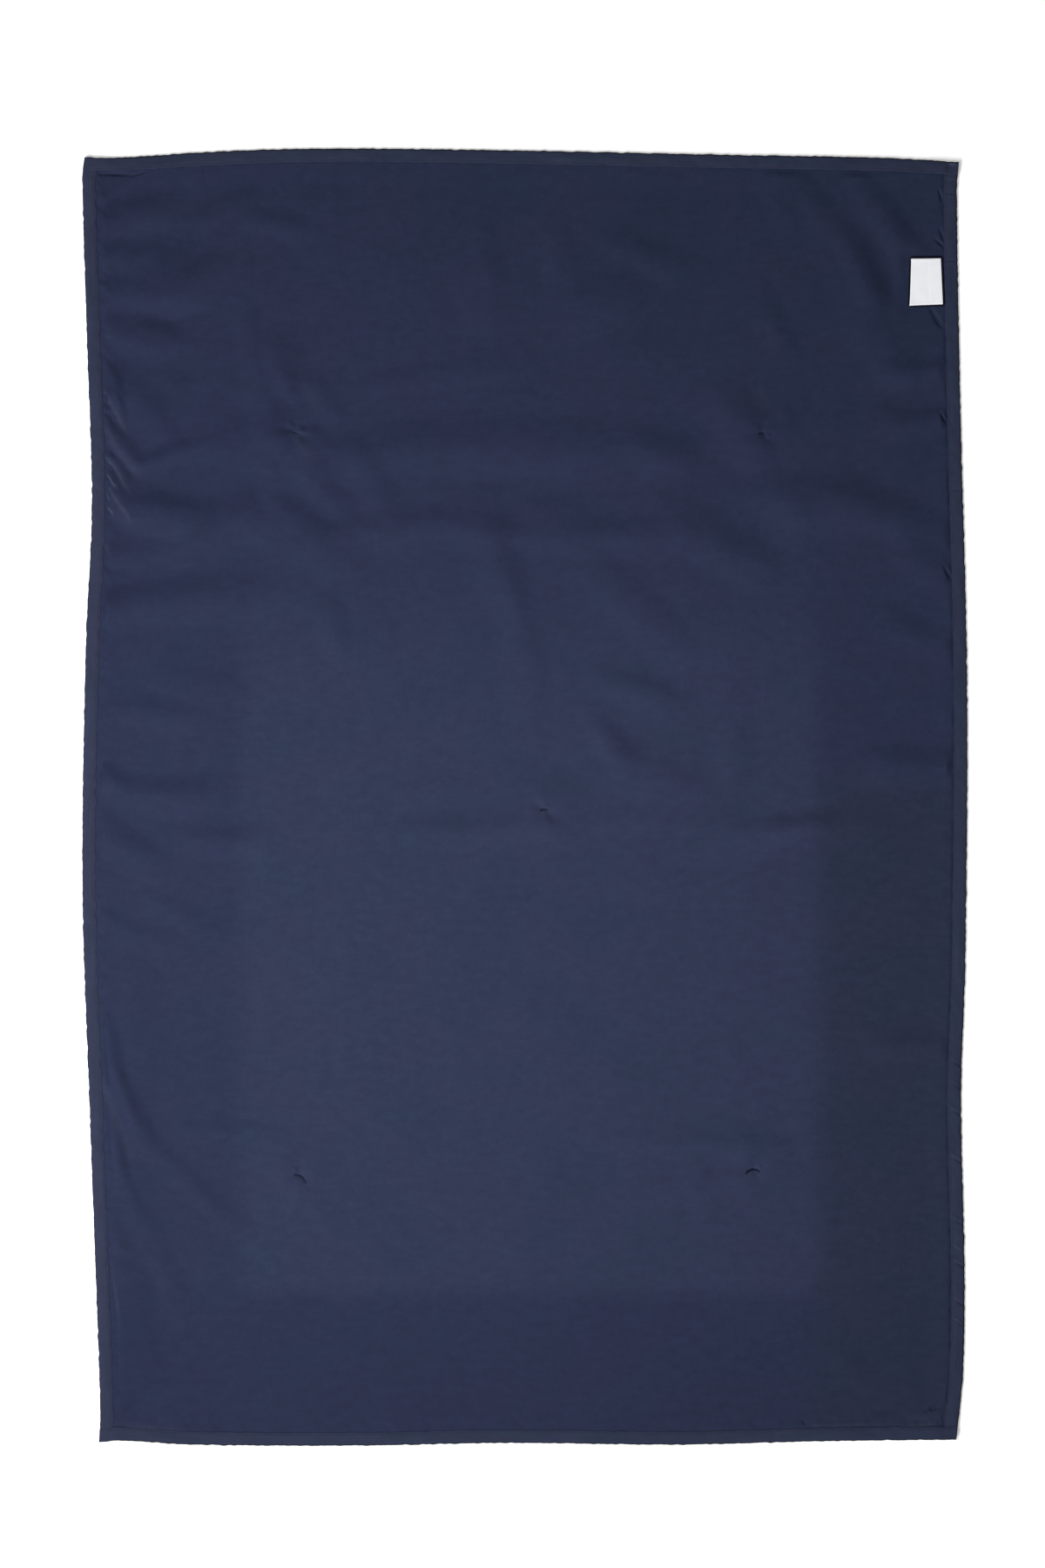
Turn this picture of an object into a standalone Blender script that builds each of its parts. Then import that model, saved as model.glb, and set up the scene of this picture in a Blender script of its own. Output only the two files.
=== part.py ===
"""Lap blanket laid out flat on a surface, its smooth woven face up.

One cloth panel, four binding tapes folded over its edges, and a small bare label.
Metres, +Z up. The origin is on the surface under the middle of the blanket, +Y runs
along its length and +X across it. The two side tapes go on first; the top and bottom
tapes fold over the side tapes' ends.
"""
import math
from collections import namedtuple

import bmesh
import bpy
from mathutils import Vector
from mathutils.geometry import delaunay_2d_cdt

MM = 0.001

# Thicknesses and clearances
CLOTH = 2.2 * MM          # the panel's cloth
TAPE = 0.8 * MM           # one leg of a binding tape
TAG = 1.0 * MM            # the label, two layers of ribbon
GAP = 0.3 * MM            # clearance between pieces that lie on each other

# Binding tapes
STRIP = 15.5 * MM         # width of tape on each face
FOLD_NOSE = 0.9 * MM      # how far the tape's rounded fold runs in from the edge
SEAM = STRIP + 1.0 * MM   # the sewn line, where the cloth leaves the tape
LIFT = TAPE + GAP         # one leg of tape under the cloth lifts it this much

# How the cloth leaves a sewn edge
SLOPE = 30.0 * MM         # length over which the cloth comes down to the surface
PUFF = 0.9 * MM           # fullness of the cloth beside the seam
PUFF_PEAK = 0.28          # the share of the slope at which it is fullest
FREEING = 9.0 * MM        # distance from the seam at which folds reach full height

# Tacks that draw the cloth down, with a soft swelling around each
TACK_REACH = 56.0 * MM
TACK_SWELL = 1.7 * MM
TACK_PEAK = 0.3           # the share of the reach at which the swelling is highest
TACK_PUCKER = 0.35        # share by which radial puckers raise and lower the swelling

# How closely the panel is divided
GRID = 52.0 * MM          # spacing of points on plain cloth
LONG_STEPS = 34           # stations along a side tape, past its closer ends
SHORT_STEPS = 24          # stations along an end tape
LONG_RUN = 1.51           # about the length of a side edge between the end tapes' folds
SHORT_RUN = 1.02          # about the length of an end edge

Edge = namedtuple("Edge", "along out")
Fold = namedtuple("Fold", "name half_width height root crest")
Rise = namedtuple("Rise", "name x y length turn half_width height")
Swell = namedtuple("Swell", "name x y reach_x reach_y height")
Tack = namedtuple("Tack", "name x y turn puckers")
Corner = namedtuple("Corner", "x y")

# The four edges, in millimetres: place along the edge, and distance from the middle
LEFT_EDGE = (
    Edge(-758, -500), Edge(-722, -499), Edge(-599, -503), Edge(-353, -512),
    Edge(-107, -520), Edge(179, -516), Edge(343, -509), Edge(548, -515),
    Edge(727, -520), Edge(752, -517),
)
RIGHT_EDGE = (
    Edge(-755, 507), Edge(-681, 515), Edge(-558, 517), Edge(-353, 513),
    Edge(-189, 518), Edge(138, 520), Edge(466, 512), Edge(712, 508), Edge(746, 510),
)
TOP_EDGE = (
    Edge(-518, 752), Edge(-486, 751), Edge(-351, 759), Edge(-228, 762),
    Edge(-23, 760), Edge(223, 755), Edge(427, 751), Edge(510, 746),
)
BOTTOM_EDGE = (
    Edge(-500, -758), Edge(-476, -756), Edge(-392, -761), Edge(-187, -762),
    Edge(-23, -759), Edge(182, -761), Edge(346, -757), Edge(507, -755),
)

# Folds in millimetres: half width and height at the crest, the share of that height at the
# crest's first place (1 where the fold springs from a seam), and the places it runs through
FOLDS = (
    Fold("brow_top", 17, 3.6, 0.8, ((-503, 668), (-453, 684), (-380, 689))),
    Fold("brow_low", 17, 2.7, 1.0, ((-503, 637), (-443, 628), (-360, 624))),
    Fold("shelf", 21, 5.5, 0.6, ((-501, 594), (-453, 591), (-355, 607))),
    Fold("shelf_low", 16, 3.4, 1.0, ((-500, 557), (-454, 540), (-390, 531))),
    Fold("steep_a", 7, 3.2, 0.4, ((-493, 507), (-484, 494), (-474, 452))),
    Fold("steep_b", 6, 3.3, 0.2, ((-492, 481), (-479, 463), (-470, 430))),
    Fold("steep_c", 10, 3.4, 1.0, ((-494, 434), (-479, 421), (-452, 390), (-405, 405), (-325, 420))),
    Fold("steep_d", 5, 3.3, 0.8, ((-492, 402), (-476, 386), (-459, 358))),
    Fold("elbow", 20, 5.5, 0.9, (
        (-490, 368), (-463, 338), (-428, 333), (-387, 326), (-335, 324), (-270, 360),
    )),
    Fold("left_small", 13, 2.4, 1.0, ((-493, 284), (-450, 285), (-388, 292))),
    Fold("left_band", 20, 5.5, 1.0, ((-493, 221), (-407, 231), (-285, 246))),
    Fold("left_mid", 14, 3.6, 0.3, ((-493, 102), (-430, 96), (-345, 92))),
    Fold("left_waist", 16, 5.5, 1.0, ((-490, 22), (-447, 1), (-320, 4))),
    Fold("left_slant", 17, 5.2, 0.6, ((-500, -36), (-458, -68), (-410, -92))),
    Fold("left_inner", 14, 5.0, 0.0, ((-423, -52), (-343, -54), (-263, -46))),
    Fold("left_low_inner", 11, 2.6, 0.0, ((-459, -110), (-400, -143), (-335, -172))),
    Fold("left_low", 12, 2.2, 1.0, ((-503, -137), (-459, -163), (-379, -178))),
    Fold("sweep", 12, 3.6, 1.0, (
        (-497, -265), (-474, -341), (-441, -406), (-375, -474), (-320, -519), (-240, -562),
    )),
    Fold("sweep_inner", 8, 4.2, 0.0, ((-493, -342), (-484, -390), (-475, -441), (-450, -515))),
    Fold("foot_left", 21, 5.5, 0.2, ((-485, -515), (-466, -570), (-464, -620), (-450, -735))),
    Fold("left_faint", 10, 2.9, 0.2, ((-422, -393), (-340, -394), (-252, -401))),
    Fold("centre_west", 13, 2.2, 0.0, ((-162, -35), (-57, -40), (43, -30))),
    Fold("centre_east", 13, 1.7, 0.4, ((30, -34), (161, -29), (294, -40), (380, -33))),
    Fold("spine", 17, 2.9, 0.2, ((-45, 320), (-13, 230), (1, 138), (-5, 20))),
    Fold("span", 17, 3.4, 0.6, ((-74, 309), (-38, 310), (65, 306), (172, 304), (296, 270))),
    Fold("slant", 17, 3.9, 0.4, ((88, 136), (142, 120), (200, 92))),
    Fold("slant_low", 16, 2.3, 0.0, ((58, 110), (97, 64), (145, 17))),
    Fold("brow_mid", 26, 4.5, 0.8, (
        (-260, 396), (-177, 404), (-44, 413), (100, 404), (192, 392), (260, 370),
    )),
    Fold("brow_mid_upper", 12, 1.7, 0.0, ((-220, 480), (-90, 496), (30, 518))),
    Fold("top_slant", 16, 2.3, 0.4, ((98, 654), (148, 633), (208, 610))),
    Fold("corner_inner", 16, 2.0, 0.8, ((300, 743), (328, 710), (359, 670), (403, 630))),
    Fold("corner_outer", 16, 3.5, 0.4, (
        (386, 735), (428, 673), (458, 620), (453, 575), (470, 545), (500, 515),
    )),
    Fold("right_dip", 22, 3.6, 0.4, ((498, 303), (438, 327), (330, 366))),
    Fold("right_top", 13, 2.9, 0.6, ((498, 501), (450, 498), (385, 492))),
    Fold("right_high", 14, 2.9, 1.0, ((498, 446), (455, 438), (389, 440))),
    Fold("right_mid", 17, 2.2, 0.4, ((501, 177), (460, 190), (395, 218))),
    Fold("right_waist", 17, 4.8, 0.6, ((503, 38), (450, 37), (370, 38))),
    Fold("right_low", 12, 3.0, 0.4, ((502, -289), (455, -292), (385, -296))),
    Fold("foot_right", 13, 1.6, 0.0, ((350, -651), (390, -674), (425, -702))),
)
FOOT = 1.7                # a fold's foot lies this many half widths from its crest

# Broad rises of the cloth, in millimetres: middle, length, turn in degrees, half width, height
RISES = (
    Rise("span_left", -137, 315, 201, 6, 17, 3.6),
    Rise("brow_right", 160, 404, 104, -15, 19, 3.6),
    Rise("corner_middle", 397, 616, 130, -67, 15, 3.1),
    Rise("dip_inner", 343, 342, 203, -11, 24, 3.6),
    Rise("span_right", 223, 300, 230, -33, 22, 2.8),
    Rise("tack_ridge", -301, 435, 173, -77, 15, 3.4),
    Rise("steep_base", -456, 464, 130, -47, 18, 3.4),
    Rise("corner_low", 409, 562, 212, -63, 26, 3.2),
    Rise("tack_east", 252, 437, 151, -63, 25, 3.4),
    Rise("tack_shelf", -309, 416, 172, 6, 26, 3.2),
    Rise("diagonal", 123, 229, 251, -43, 22, 2.5),
    Rise("spine_top", -37, 285, 178, -79, 24, 3.4),
    Rise("elbow_inner", -272, 306, 213, -28, 26, 3.3),
    Rise("elbow_left", -410, 316, 154, -30, 26, 3.2),
    Rise("dip_low", 468, 274, 104, -34, 17, 2.7),
    Rise("waist_east", 300, -43, 273, 9, 16, 3.0),
    Rise("waist_middle", 145, 23, 264, -21, 22, 2.4),
    Rise("shelf_rise", -383, 603, 125, 34, 17, 3.4),
    Rise("sweep_base", -463, -352, 420, -90, 22, 3.4),
    Rise("top_middle", 92, 581, 139, 15, 26, 3.2),
    Rise("top_spine", -50, 593, 115, -85, 24, 3.2),
)

# Low swellings of the cloth, in millimetres: middle, reach each way and height
SWELLS = (
    Swell("shoulder", 320, 322, 42, 36, 2.4),
    Swell("upper_left", -285, 500, 40, 60, 2.2),
    Swell("below_tack", -275, 380, 48, 34, 2.0),
    Swell("middle_left", -190, 180, 120, 70, 1.2),
    Swell("middle_right", 230, 190, 90, 60, 1.2),
)

# Tacks, in millimetres: place, turn of the first pucker in degrees, puckers around
TACKS = (
    Tack("upper_left", -268, 431, 65, 5),
    Tack("upper_right", 279, 428, 20, 3),
    Tack("middle", 23, -15, 10, 4),
    Tack("lower_left", -266, -443, 140, 3),
    Tack("lower_right", 269, -438, 0, 3),
)

# The label's corners, in millimetres, counter-clockwise from its lower left
LABEL = (Corner(451.7, 576.9), Corner(492.2, 578.1), Corner(489.6, 633.7), Corner(453.7, 633.0))
LABEL_MARGIN = 3.0 * MM   # flat cloth around the label
LABEL_FADE = 14.0 * MM    # beyond it the folds come back

NAVY = (0.033, 0.043, 0.088)
NAVY_TAPE = (0.040, 0.046, 0.086)
WHITE = (0.78, 0.80, 0.82)


def smooth(share):
    """Ease from 0 to 1 with a level start and end."""
    share = min(max(share, 0.0), 1.0)
    return share * share * (3.0 - 2.0 * share)


def hump(distance, reach, peak):
    """A swelling that starts at 0, is highest a share `peak` of the way along and ends at `reach`."""
    if not 0.0 < distance < reach:
        return 0.0
    power = math.log(0.5) / math.log(peak)
    return math.sin(math.pi * (distance / reach) ** power) ** 2


def edge_out(edge, along):
    """An edge's distance from the middle at a place along it, by a curve through its rows."""
    along = along / MM
    last = len(edge) - 2
    k = next((i for i in range(last) if along < edge[i + 1].along), last)
    here, after = edge[k], edge[k + 1]
    before, beyond = edge[max(k - 1, 0)], edge[min(k + 2, last + 1)]
    span = after.along - here.along
    t = min(max((along - here.along) / span, 0.0), 1.0)
    lean_here = (after.out - before.out) / (after.along - before.along) * span
    lean_after = (beyond.out - here.out) / (beyond.along - here.along) * span
    out = (
        here.out * (2 * t**3 - 3 * t**2 + 1)
        + lean_here * (t**3 - 2 * t**2 + t)
        + after.out * (3 * t**2 - 2 * t**3)
        + lean_after * (t**3 - t**2)
    )
    return out * MM


def insets(x, y):
    """Distances of a point from the nearer side edge and the nearer end edge."""
    side = min(x - edge_out(LEFT_EDGE, y), edge_out(RIGHT_EDGE, y) - x)
    end = min(y - edge_out(BOTTOM_EDGE, x), edge_out(TOP_EDGE, x) - y)
    return side, end


def held(inset):
    """1 under a tape, falling to 0 where the cloth has come down to the surface."""
    return 1.0 - smooth((inset - SEAM) / SLOPE)


def curve_through(places, step):
    """Points about `step` apart on a smooth curve through the given places."""
    knots = [Vector(places[0]) * 2 - Vector(places[1]), *map(Vector, places)]
    knots.append(Vector(places[-1]) * 2 - Vector(places[-2]))
    line = [knots[1]]
    for before, here, after, beyond in zip(knots, knots[1:], knots[2:], knots[3:]):
        count = max(round((after - here).length / step), 1)
        for k in range(1, count + 1):
            t = k / count
            line.append(
                here
                + (after - before) * (0.5 * t)
                + (before * 2 - here * 5 + after * 4 - beyond) * (0.5 * t**2)
                + (here * 3 - before - after * 3 + beyond) * (0.5 * t**3)
            )
    return line


def off_line(x, y, line):
    """Distance of a point from a line of points in millimetres, and the share along it."""
    point = Vector((x, y)) / MM
    lengths = [(b - a).length for a, b in zip(line, line[1:])]
    gone, best = 0.0, (math.inf, 0.0)
    for a, b, length in zip(line, line[1:], lengths):
        t = min(max((point - a).dot(b - a) / length**2, 0.0), 1.0)
        away = (point - a.lerp(b, t)).length
        best = min(best, (away, (gone + t * length) / sum(lengths)))
        gone += length
    return best


def fold_height(x, y, fold):
    """Height of one fold: a rounded ridge that opens out and sinks towards its far end."""
    away, share = off_line(x, y, CREST_LINES[fold.name])
    reach = FOOT * fold.half_width * (0.8 + 0.4 * share)
    if away >= reach:
        return 0.0
    across = (1.0 - (away / reach) ** 2) ** 2
    along = (fold.root + (1.0 - fold.root) * smooth(share / 0.4)) * smooth((1.0 - share) / 0.5)
    return fold.height * MM * across * along


def rise_height(x, y, rise):
    """Height of one broad rise, which rounds off at both ends."""
    dx, dy = x / MM - rise.x, y / MM - rise.y
    turn = math.radians(rise.turn)
    along = (dx * math.cos(turn) + dy * math.sin(turn)) / (0.5 * rise.length)
    across = (dy * math.cos(turn) - dx * math.sin(turn)) / (FOOT * rise.half_width)
    return rise.height * MM * max(1.0 - across**2 - abs(along) ** 3, 0.0) ** 2


def swell_height(x, y, swell):
    """Height of one low swelling."""
    away = math.hypot((x / MM - swell.x) / swell.reach_x, (y / MM - swell.y) / swell.reach_y)
    return swell.height * MM * (1.0 - smooth(away))


def tack_height(x, y, tack):
    """Height of the puckered ring around one tack, 0 at the tack itself."""
    dx, dy = x - tack.x * MM, y - tack.y * MM
    ring = hump(math.hypot(dx, dy), TACK_REACH, TACK_PEAK)
    turned = math.atan2(dy, dx) - math.radians(tack.turn)
    return TACK_SWELL * ring * (1.0 + TACK_PUCKER * math.cos(tack.puckers * turned))


def off_label(x, y):
    """Distance of a point from the label's outline, 0 inside it."""
    low_x, high_x = min(c.x for c in LABEL) * MM, max(c.x for c in LABEL) * MM
    low_y, high_y = min(c.y for c in LABEL) * MM, max(c.y for c in LABEL) * MM
    return math.hypot(max(low_x - x, 0.0, x - high_x), max(low_y - y, 0.0, y - high_y))


def cloth_height(x, y):
    """Height of the cloth's underside above the surface."""
    side, end = insets(x, y)
    sewn = LIFT * (held(side) + held(end))
    inset = min(side, end) - SEAM
    raised = sum(fold_height(x, y, f) for f in FOLDS) + sum(rise_height(x, y, r) for r in RISES)
    raised += sum(swell_height(x, y, s) for s in SWELLS) + sum(tack_height(x, y, t) for t in TACKS)
    free = sewn + PUFF * hump(inset, SLOPE, PUFF_PEAK) + raised * smooth(inset / FREEING)
    pressed = 1.0 - smooth((off_label(x, y) - LABEL_MARGIN) / LABEL_FADE)
    return free + (LIFT - free) * pressed


def shares(steps, length):
    """Places along an edge from 0 to 1: its ends, the sewn lines, and closer steps on the slopes."""
    near_end = [0.0, SEAM - LIFT, SEAM + 0.35 * SLOPE, SEAM + 0.7 * SLOPE]
    ends = [place / length for place in near_end]
    first = (SEAM + 1.1 * SLOPE) / length
    middle = [first + (1.0 - 2.0 * first) * k / steps for k in range(steps + 1)]
    return ends + middle + [1.0 - e for e in reversed(ends)]


def side_point(edge, sign, share, inset):
    """A point along a side edge, between the folds of the two end tapes."""
    y = 0.0
    x = edge_out(edge, y)
    for _ in range(4):
        low = edge_out(BOTTOM_EDGE, x) + LIFT
        high = edge_out(TOP_EDGE, x) - LIFT
        y = low + (high - low) * share
        x = edge_out(edge, y) - sign * inset
    return x, y


def end_point(edge, sign, share, inset, margin=0.0):
    """A point along an end edge, between the side edges or `margin` in from them."""
    x, y = 0.0, edge_out(edge, 0.0)
    for _ in range(4):
        low = edge_out(LEFT_EDGE, y) + margin
        high = edge_out(RIGHT_EDGE, y) - margin
        x = low + (high - low) * share
        y = edge_out(edge, x) - sign * inset
    return x, y


LONG_SHARES = shares(LONG_STEPS, LONG_RUN)
SHORT_SHARES = shares(SHORT_STEPS, SHORT_RUN)
CREST_LINES = {fold.name: curve_through(fold.crest, 14.0) for fold in FOLDS}


def loop_around(inset):
    """Points of a line parallel to the blanket's edges, counter-clockwise from the lower left.

    Every point stands on a station of a tape, so cloth and tape bend at the same places.
    """
    stations = slice(1, -1) if inset > LIFT else slice(None)
    bottom = [end_point(BOTTOM_EDGE, -1, s, inset, LIFT) for s in SHORT_SHARES[stations]]
    right = [side_point(RIGHT_EDGE, 1, s, inset) for s in LONG_SHARES[stations]]
    top = [end_point(TOP_EDGE, 1, s, inset, LIFT) for s in SHORT_SHARES[stations]]
    left = [side_point(LEFT_EDGE, -1, s, inset) for s in LONG_SHARES[stations]]
    return bottom[:-1] + right[:-1] + top[:0:-1] + left[:0:-1]


def along_crest(fold):
    """Rows of points on a fold's crest, its flanks and its feet."""
    line = curve_through(fold.crest, max(1.8 * fold.half_width, 10.0))
    for k, middle in enumerate(line):
        run = line[min(k + 1, len(line) - 1)] - line[max(k - 1, 0)]
        across = Vector((-run.y, run.x)).normalized() * fold.half_width
        for offset in (0.0, -0.8, 0.8, -FOOT, FOOT):
            yield (middle + across * offset) * MM


def over_rise(rise):
    """Rows of points over a broad rise, out to its feet."""
    run = Vector((math.cos(math.radians(rise.turn)), math.sin(math.radians(rise.turn))))
    aside = Vector((-run.y, run.x)) * rise.half_width
    count = max(round(rise.length / (2.0 * rise.half_width)), 3)
    for k in range(count + 1):
        middle = Vector((rise.x, rise.y)) + run * rise.length * (k / count - 0.5)
        for offset in (0.0, -0.8, 0.8, -FOOT, FOOT):
            yield (middle + aside * offset) * MM


def around_tack(tack):
    """Rings of points around a tack, with the tack itself."""
    yield Vector((tack.x, tack.y)) * MM
    for share, count in ((0.12, 6), (0.3, 9), (0.6, 9), (1.0, 9)):
        for k in range(count):
            angle = math.radians(tack.turn) + math.tau * k / count
            offset = Vector((math.cos(angle), math.sin(angle))) * TACK_REACH * share
            yield Vector((tack.x, tack.y)) * MM + offset


def around_label():
    """Points just outside the label on three sides; the sewn line closes the fourth."""
    step = 7.5 * MM
    margin = 0.8 * LABEL_MARGIN
    low_x, low_y = min(c.x for c in LABEL) * MM - margin, min(c.y for c in LABEL) * MM - margin
    high_x, high_y = max(c.x for c in LABEL) * MM - step / 2, max(c.y for c in LABEL) * MM + margin
    columns, rows = round((high_x - low_x) / step), round((high_y - low_y) / step)
    for k in range(columns + 1):
        yield Vector((low_x + (high_x - low_x) * k / columns, low_y))
        yield Vector((low_x + (high_x - low_x) * k / columns, high_y))
    for k in range(1, rows):
        yield Vector((low_x, low_y + (high_y - low_y) * k / rows))


def plain_grid():
    """Points over the whole field, every other row shifted by half a step."""
    for row in range(-17, 18):
        for column in range(-11, 12):
            yield Vector((column + 0.5 * (row % 2), row * 0.9)) * GRID


def field_points():
    """Points inside the sewn line: label, tacks and narrow folds first, plain cloth last."""
    groups = [(around_label(), 4.0 * MM)]
    groups += [(around_tack(t), 4.0 * MM) for t in TACKS]
    groups += [(along_crest(f), 0.7 * f.half_width * MM) for f in sorted(FOLDS, key=lambda f: f.half_width)]
    groups += [(over_rise(r), 0.7 * r.half_width * MM) for r in RISES]
    groups += [(plain_grid(), 0.5 * GRID)]
    chosen = []
    for points, apart in groups:
        for point in points:
            near_label = off_label(point.x, point.y) < 0.5 * LABEL_MARGIN
            if near_label or min(insets(point.x, point.y)) < SEAM + 3.5 * MM:
                continue
            if all((point - other).length > apart for other in chosen):
                chosen.append(point)
    return chosen


def add_object(name, mesh_maker, material):
    """Link a named object whose mesh is filled by `mesh_maker`, its faces pointing out."""
    bm = bmesh.new()
    mesh_maker(bm)
    bmesh.ops.recalc_face_normals(bm, faces=bm.faces[:])
    mesh = bpy.data.meshes.new(name)
    bm.to_mesh(mesh)
    bm.free()
    mesh.materials.append(material)
    mesh.shade_smooth()
    mesh.set_sharp_from_angle(angle=math.radians(35))
    made = bpy.data.objects.new(name, mesh)
    bpy.context.scene.collection.objects.link(made)
    return made


def thicken(bm, thickness):
    """Extrude all faces straight up into a solid sheet."""
    grown = bmesh.ops.extrude_face_region(bm, geom=bm.faces[:])["geom"]
    raised = [v for v in grown if isinstance(v, bmesh.types.BMVert)]
    bmesh.ops.translate(bm, verts=raised, vec=(0.0, 0.0, thickness))


def panel_mesh(bm):
    """The cloth: triangles over the field, each corner at its fold's height, made thick."""
    outline, sewn_line = loop_around(LIFT), loop_around(SEAM)
    points = [Vector(p) for p in outline + sewn_line] + field_points()
    edges = []
    for first, count in ((0, len(outline)), (len(outline), len(sewn_line))):
        edges += [(first + k, first + (k + 1) % count) for k in range(count)]
    flat, _, triangles, *_ = delaunay_2d_cdt(points, edges, [], 1, 1e-6)
    corners = [bm.verts.new((p.x, p.y, cloth_height(p.x, p.y))) for p in flat]
    for triangle in triangles:
        bm.faces.new([corners[i] for i in triangle])
    thicken(bm, CLOTH)


def tape_ring(place, low, high):
    """The folded tape's section as a ring of points; `place` turns an inset into x and y."""
    section = (
        (STRIP, low), (FOLD_NOSE, low), (0.0, low + FOLD_NOSE),
        (0.0, high - FOLD_NOSE), (FOLD_NOSE, high), (STRIP, high),
        (STRIP, high - TAPE), (TAPE, high - TAPE), (TAPE, low + TAPE), (STRIP, low + TAPE),
    )
    return [(*place(inset), z) for inset, z in section]


def sweep_rings(bm, rings):
    """Join rings of points into a tube with closed ends."""
    loops = [[bm.verts.new(p) for p in ring] for ring in rings]
    for near, far in zip(loops, loops[1:]):
        for k in range(len(near)):
            after = (k + 1) % len(near)
            bm.faces.new((near[k], near[after], far[after], far[k]))
    bm.faces.new(loops[0])
    bm.faces.new(loops[-1])


def side_tape_mesh(edge, sign):
    """A side tape, lifted at its ends by the leg of the end tape that passes under it."""
    def fill(bm):
        rings = []
        for share in LONG_SHARES:
            _, end = insets(*side_point(edge, sign, share, STRIP))
            low = LIFT * held(end)
            high = low + 2 * LIFT + CLOTH
            rings.append(tape_ring(lambda inset, s=share: side_point(edge, sign, s, inset), low, high))
        sweep_rings(bm, rings)
    return fill


def end_tape_mesh(edge, sign):
    """An end tape, higher at both ends, where it also folds over the side tapes."""
    def fill(bm):
        rings = []
        for k, share in enumerate(SHORT_SHARES):
            margin = LIFT if 0 < k < len(SHORT_SHARES) - 1 else 0.0
            side, _ = insets(*end_point(edge, sign, share, STRIP, margin))
            high = 2 * LIFT + CLOTH + 2 * LIFT * held(side)
            rings.append(tape_ring(
                lambda inset, s=share, m=margin: end_point(edge, sign, s, inset, m), 0.0, high
            ))
        sweep_rings(bm, rings)
    return fill


def label_mesh(bm):
    """The label, flat on the cloth beside the right tape."""
    low = LIFT + CLOTH + GAP
    bm.faces.new([bm.verts.new((c.x * MM, c.y * MM, low)) for c in LABEL])
    thicken(bm, TAG)


def cloth_material(name, colour, roughness):
    """A plain fabric finish."""
    material = bpy.data.materials.new(name)
    material.use_nodes = True
    surface = material.node_tree.nodes["Principled BSDF"]
    surface.inputs["Base Color"].default_value = (*colour, 1.0)
    surface.inputs["Roughness"].default_value = roughness
    surface.inputs["Metallic"].default_value = 0.0
    return material


def main():
    """Clear the scene and make the blanket's pieces."""
    for leftover in list(bpy.data.objects):
        bpy.data.objects.remove(leftover, do_unlink=True)
    woven = cloth_material("panel_cloth", NAVY, 0.62)
    tape = cloth_material("binding_tape", NAVY_TAPE, 0.70)
    ribbon = cloth_material("label_ribbon", WHITE, 0.55)
    add_object("panel", panel_mesh, woven)
    add_object("binding_left", side_tape_mesh(LEFT_EDGE, -1), tape)
    add_object("binding_right", side_tape_mesh(RIGHT_EDGE, 1), tape)
    add_object("binding_top", end_tape_mesh(TOP_EDGE, 1), tape)
    add_object("binding_bottom", end_tape_mesh(BOTTOM_EDGE, -1), tape)
    add_object("label", label_mesh, ribbon)


main()
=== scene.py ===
"""Looks of a lap blanket laid out flat: finishes, fine folds, sewing, tacks and a bare label.

Lengths are in metres unless a table says millimetres. +Z is up, +Y runs along the blanket
and +X across it, with the origin on the surface under its middle.
"""

import logging
import math
from dataclasses import dataclass
from enum import Enum

import bmesh
import bpy
import numpy as np
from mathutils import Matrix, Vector, noise


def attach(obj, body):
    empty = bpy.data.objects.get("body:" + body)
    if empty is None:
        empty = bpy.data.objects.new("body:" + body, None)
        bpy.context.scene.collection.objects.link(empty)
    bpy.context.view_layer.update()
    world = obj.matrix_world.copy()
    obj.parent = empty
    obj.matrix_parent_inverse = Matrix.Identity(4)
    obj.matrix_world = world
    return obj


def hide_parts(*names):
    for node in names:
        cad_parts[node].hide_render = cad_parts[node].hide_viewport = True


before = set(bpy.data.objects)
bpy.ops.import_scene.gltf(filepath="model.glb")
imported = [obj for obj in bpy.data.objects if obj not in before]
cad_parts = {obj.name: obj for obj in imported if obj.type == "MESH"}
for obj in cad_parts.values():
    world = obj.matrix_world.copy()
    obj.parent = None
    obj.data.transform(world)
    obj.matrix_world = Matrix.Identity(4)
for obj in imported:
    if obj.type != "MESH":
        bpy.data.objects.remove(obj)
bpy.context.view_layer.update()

MM = 0.001
LOG = logging.getLogger("lap_blanket")

CLOTH = 2.2 * MM          # the panel's cloth
TAPE = 0.8 * MM           # one leg of a binding tape
TAG = 1.0 * MM            # the label
GAP = 0.3 * MM            # clearance between pieces that lie on each other
STRIP = 15.5 * MM         # width of a tape on each face
SEAM = STRIP + 1.0 * MM   # the line where the cloth leaves the tape
LIFT = TAPE + GAP         # one leg of tape under the cloth lifts it this much
STITCH_INSET = 13.3 * MM  # the row of stitching, from the outer edge
LONG_EDGE = 1.51          # about the length of a side edge between the end tapes' folds
SHORT_EDGE = 1.03         # about the length of an end edge

Socket = bpy.types.NodeSocket
Colour = tuple[float, float, float]


def smooth(share: np.ndarray) -> np.ndarray:
    """Ease from 0 to 1 with a level start and end."""
    share = np.clip(share, 0.0, 1.0)
    return share * share * (3.0 - 2.0 * share)


def hump(distance: np.ndarray, reach: float, peak: float) -> np.ndarray:
    """A swelling that starts and ends level.

    Args:
        distance: how far each place is from its start.
        reach: where it ends.
        peak: the share of the way at which it is highest.

    Returns:
        Its height, from 0 to 1.
    """
    power = math.log(0.5) / math.log(peak)
    share = np.clip(distance / reach, 0.0, 1.0)
    return np.sin(math.pi * share**power) ** 2


def grain(x: np.ndarray, y: np.ndarray, reach: float, seed: float) -> np.ndarray:
    """Smooth random values, mostly within -0.7 and 0.7, that change over about `reach`."""
    places = zip(np.ravel(x) / reach, np.ravel(y) / reach)
    return np.array([noise.noise(Vector((a, b, seed))) for a, b in places]).reshape(np.shape(x))


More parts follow.
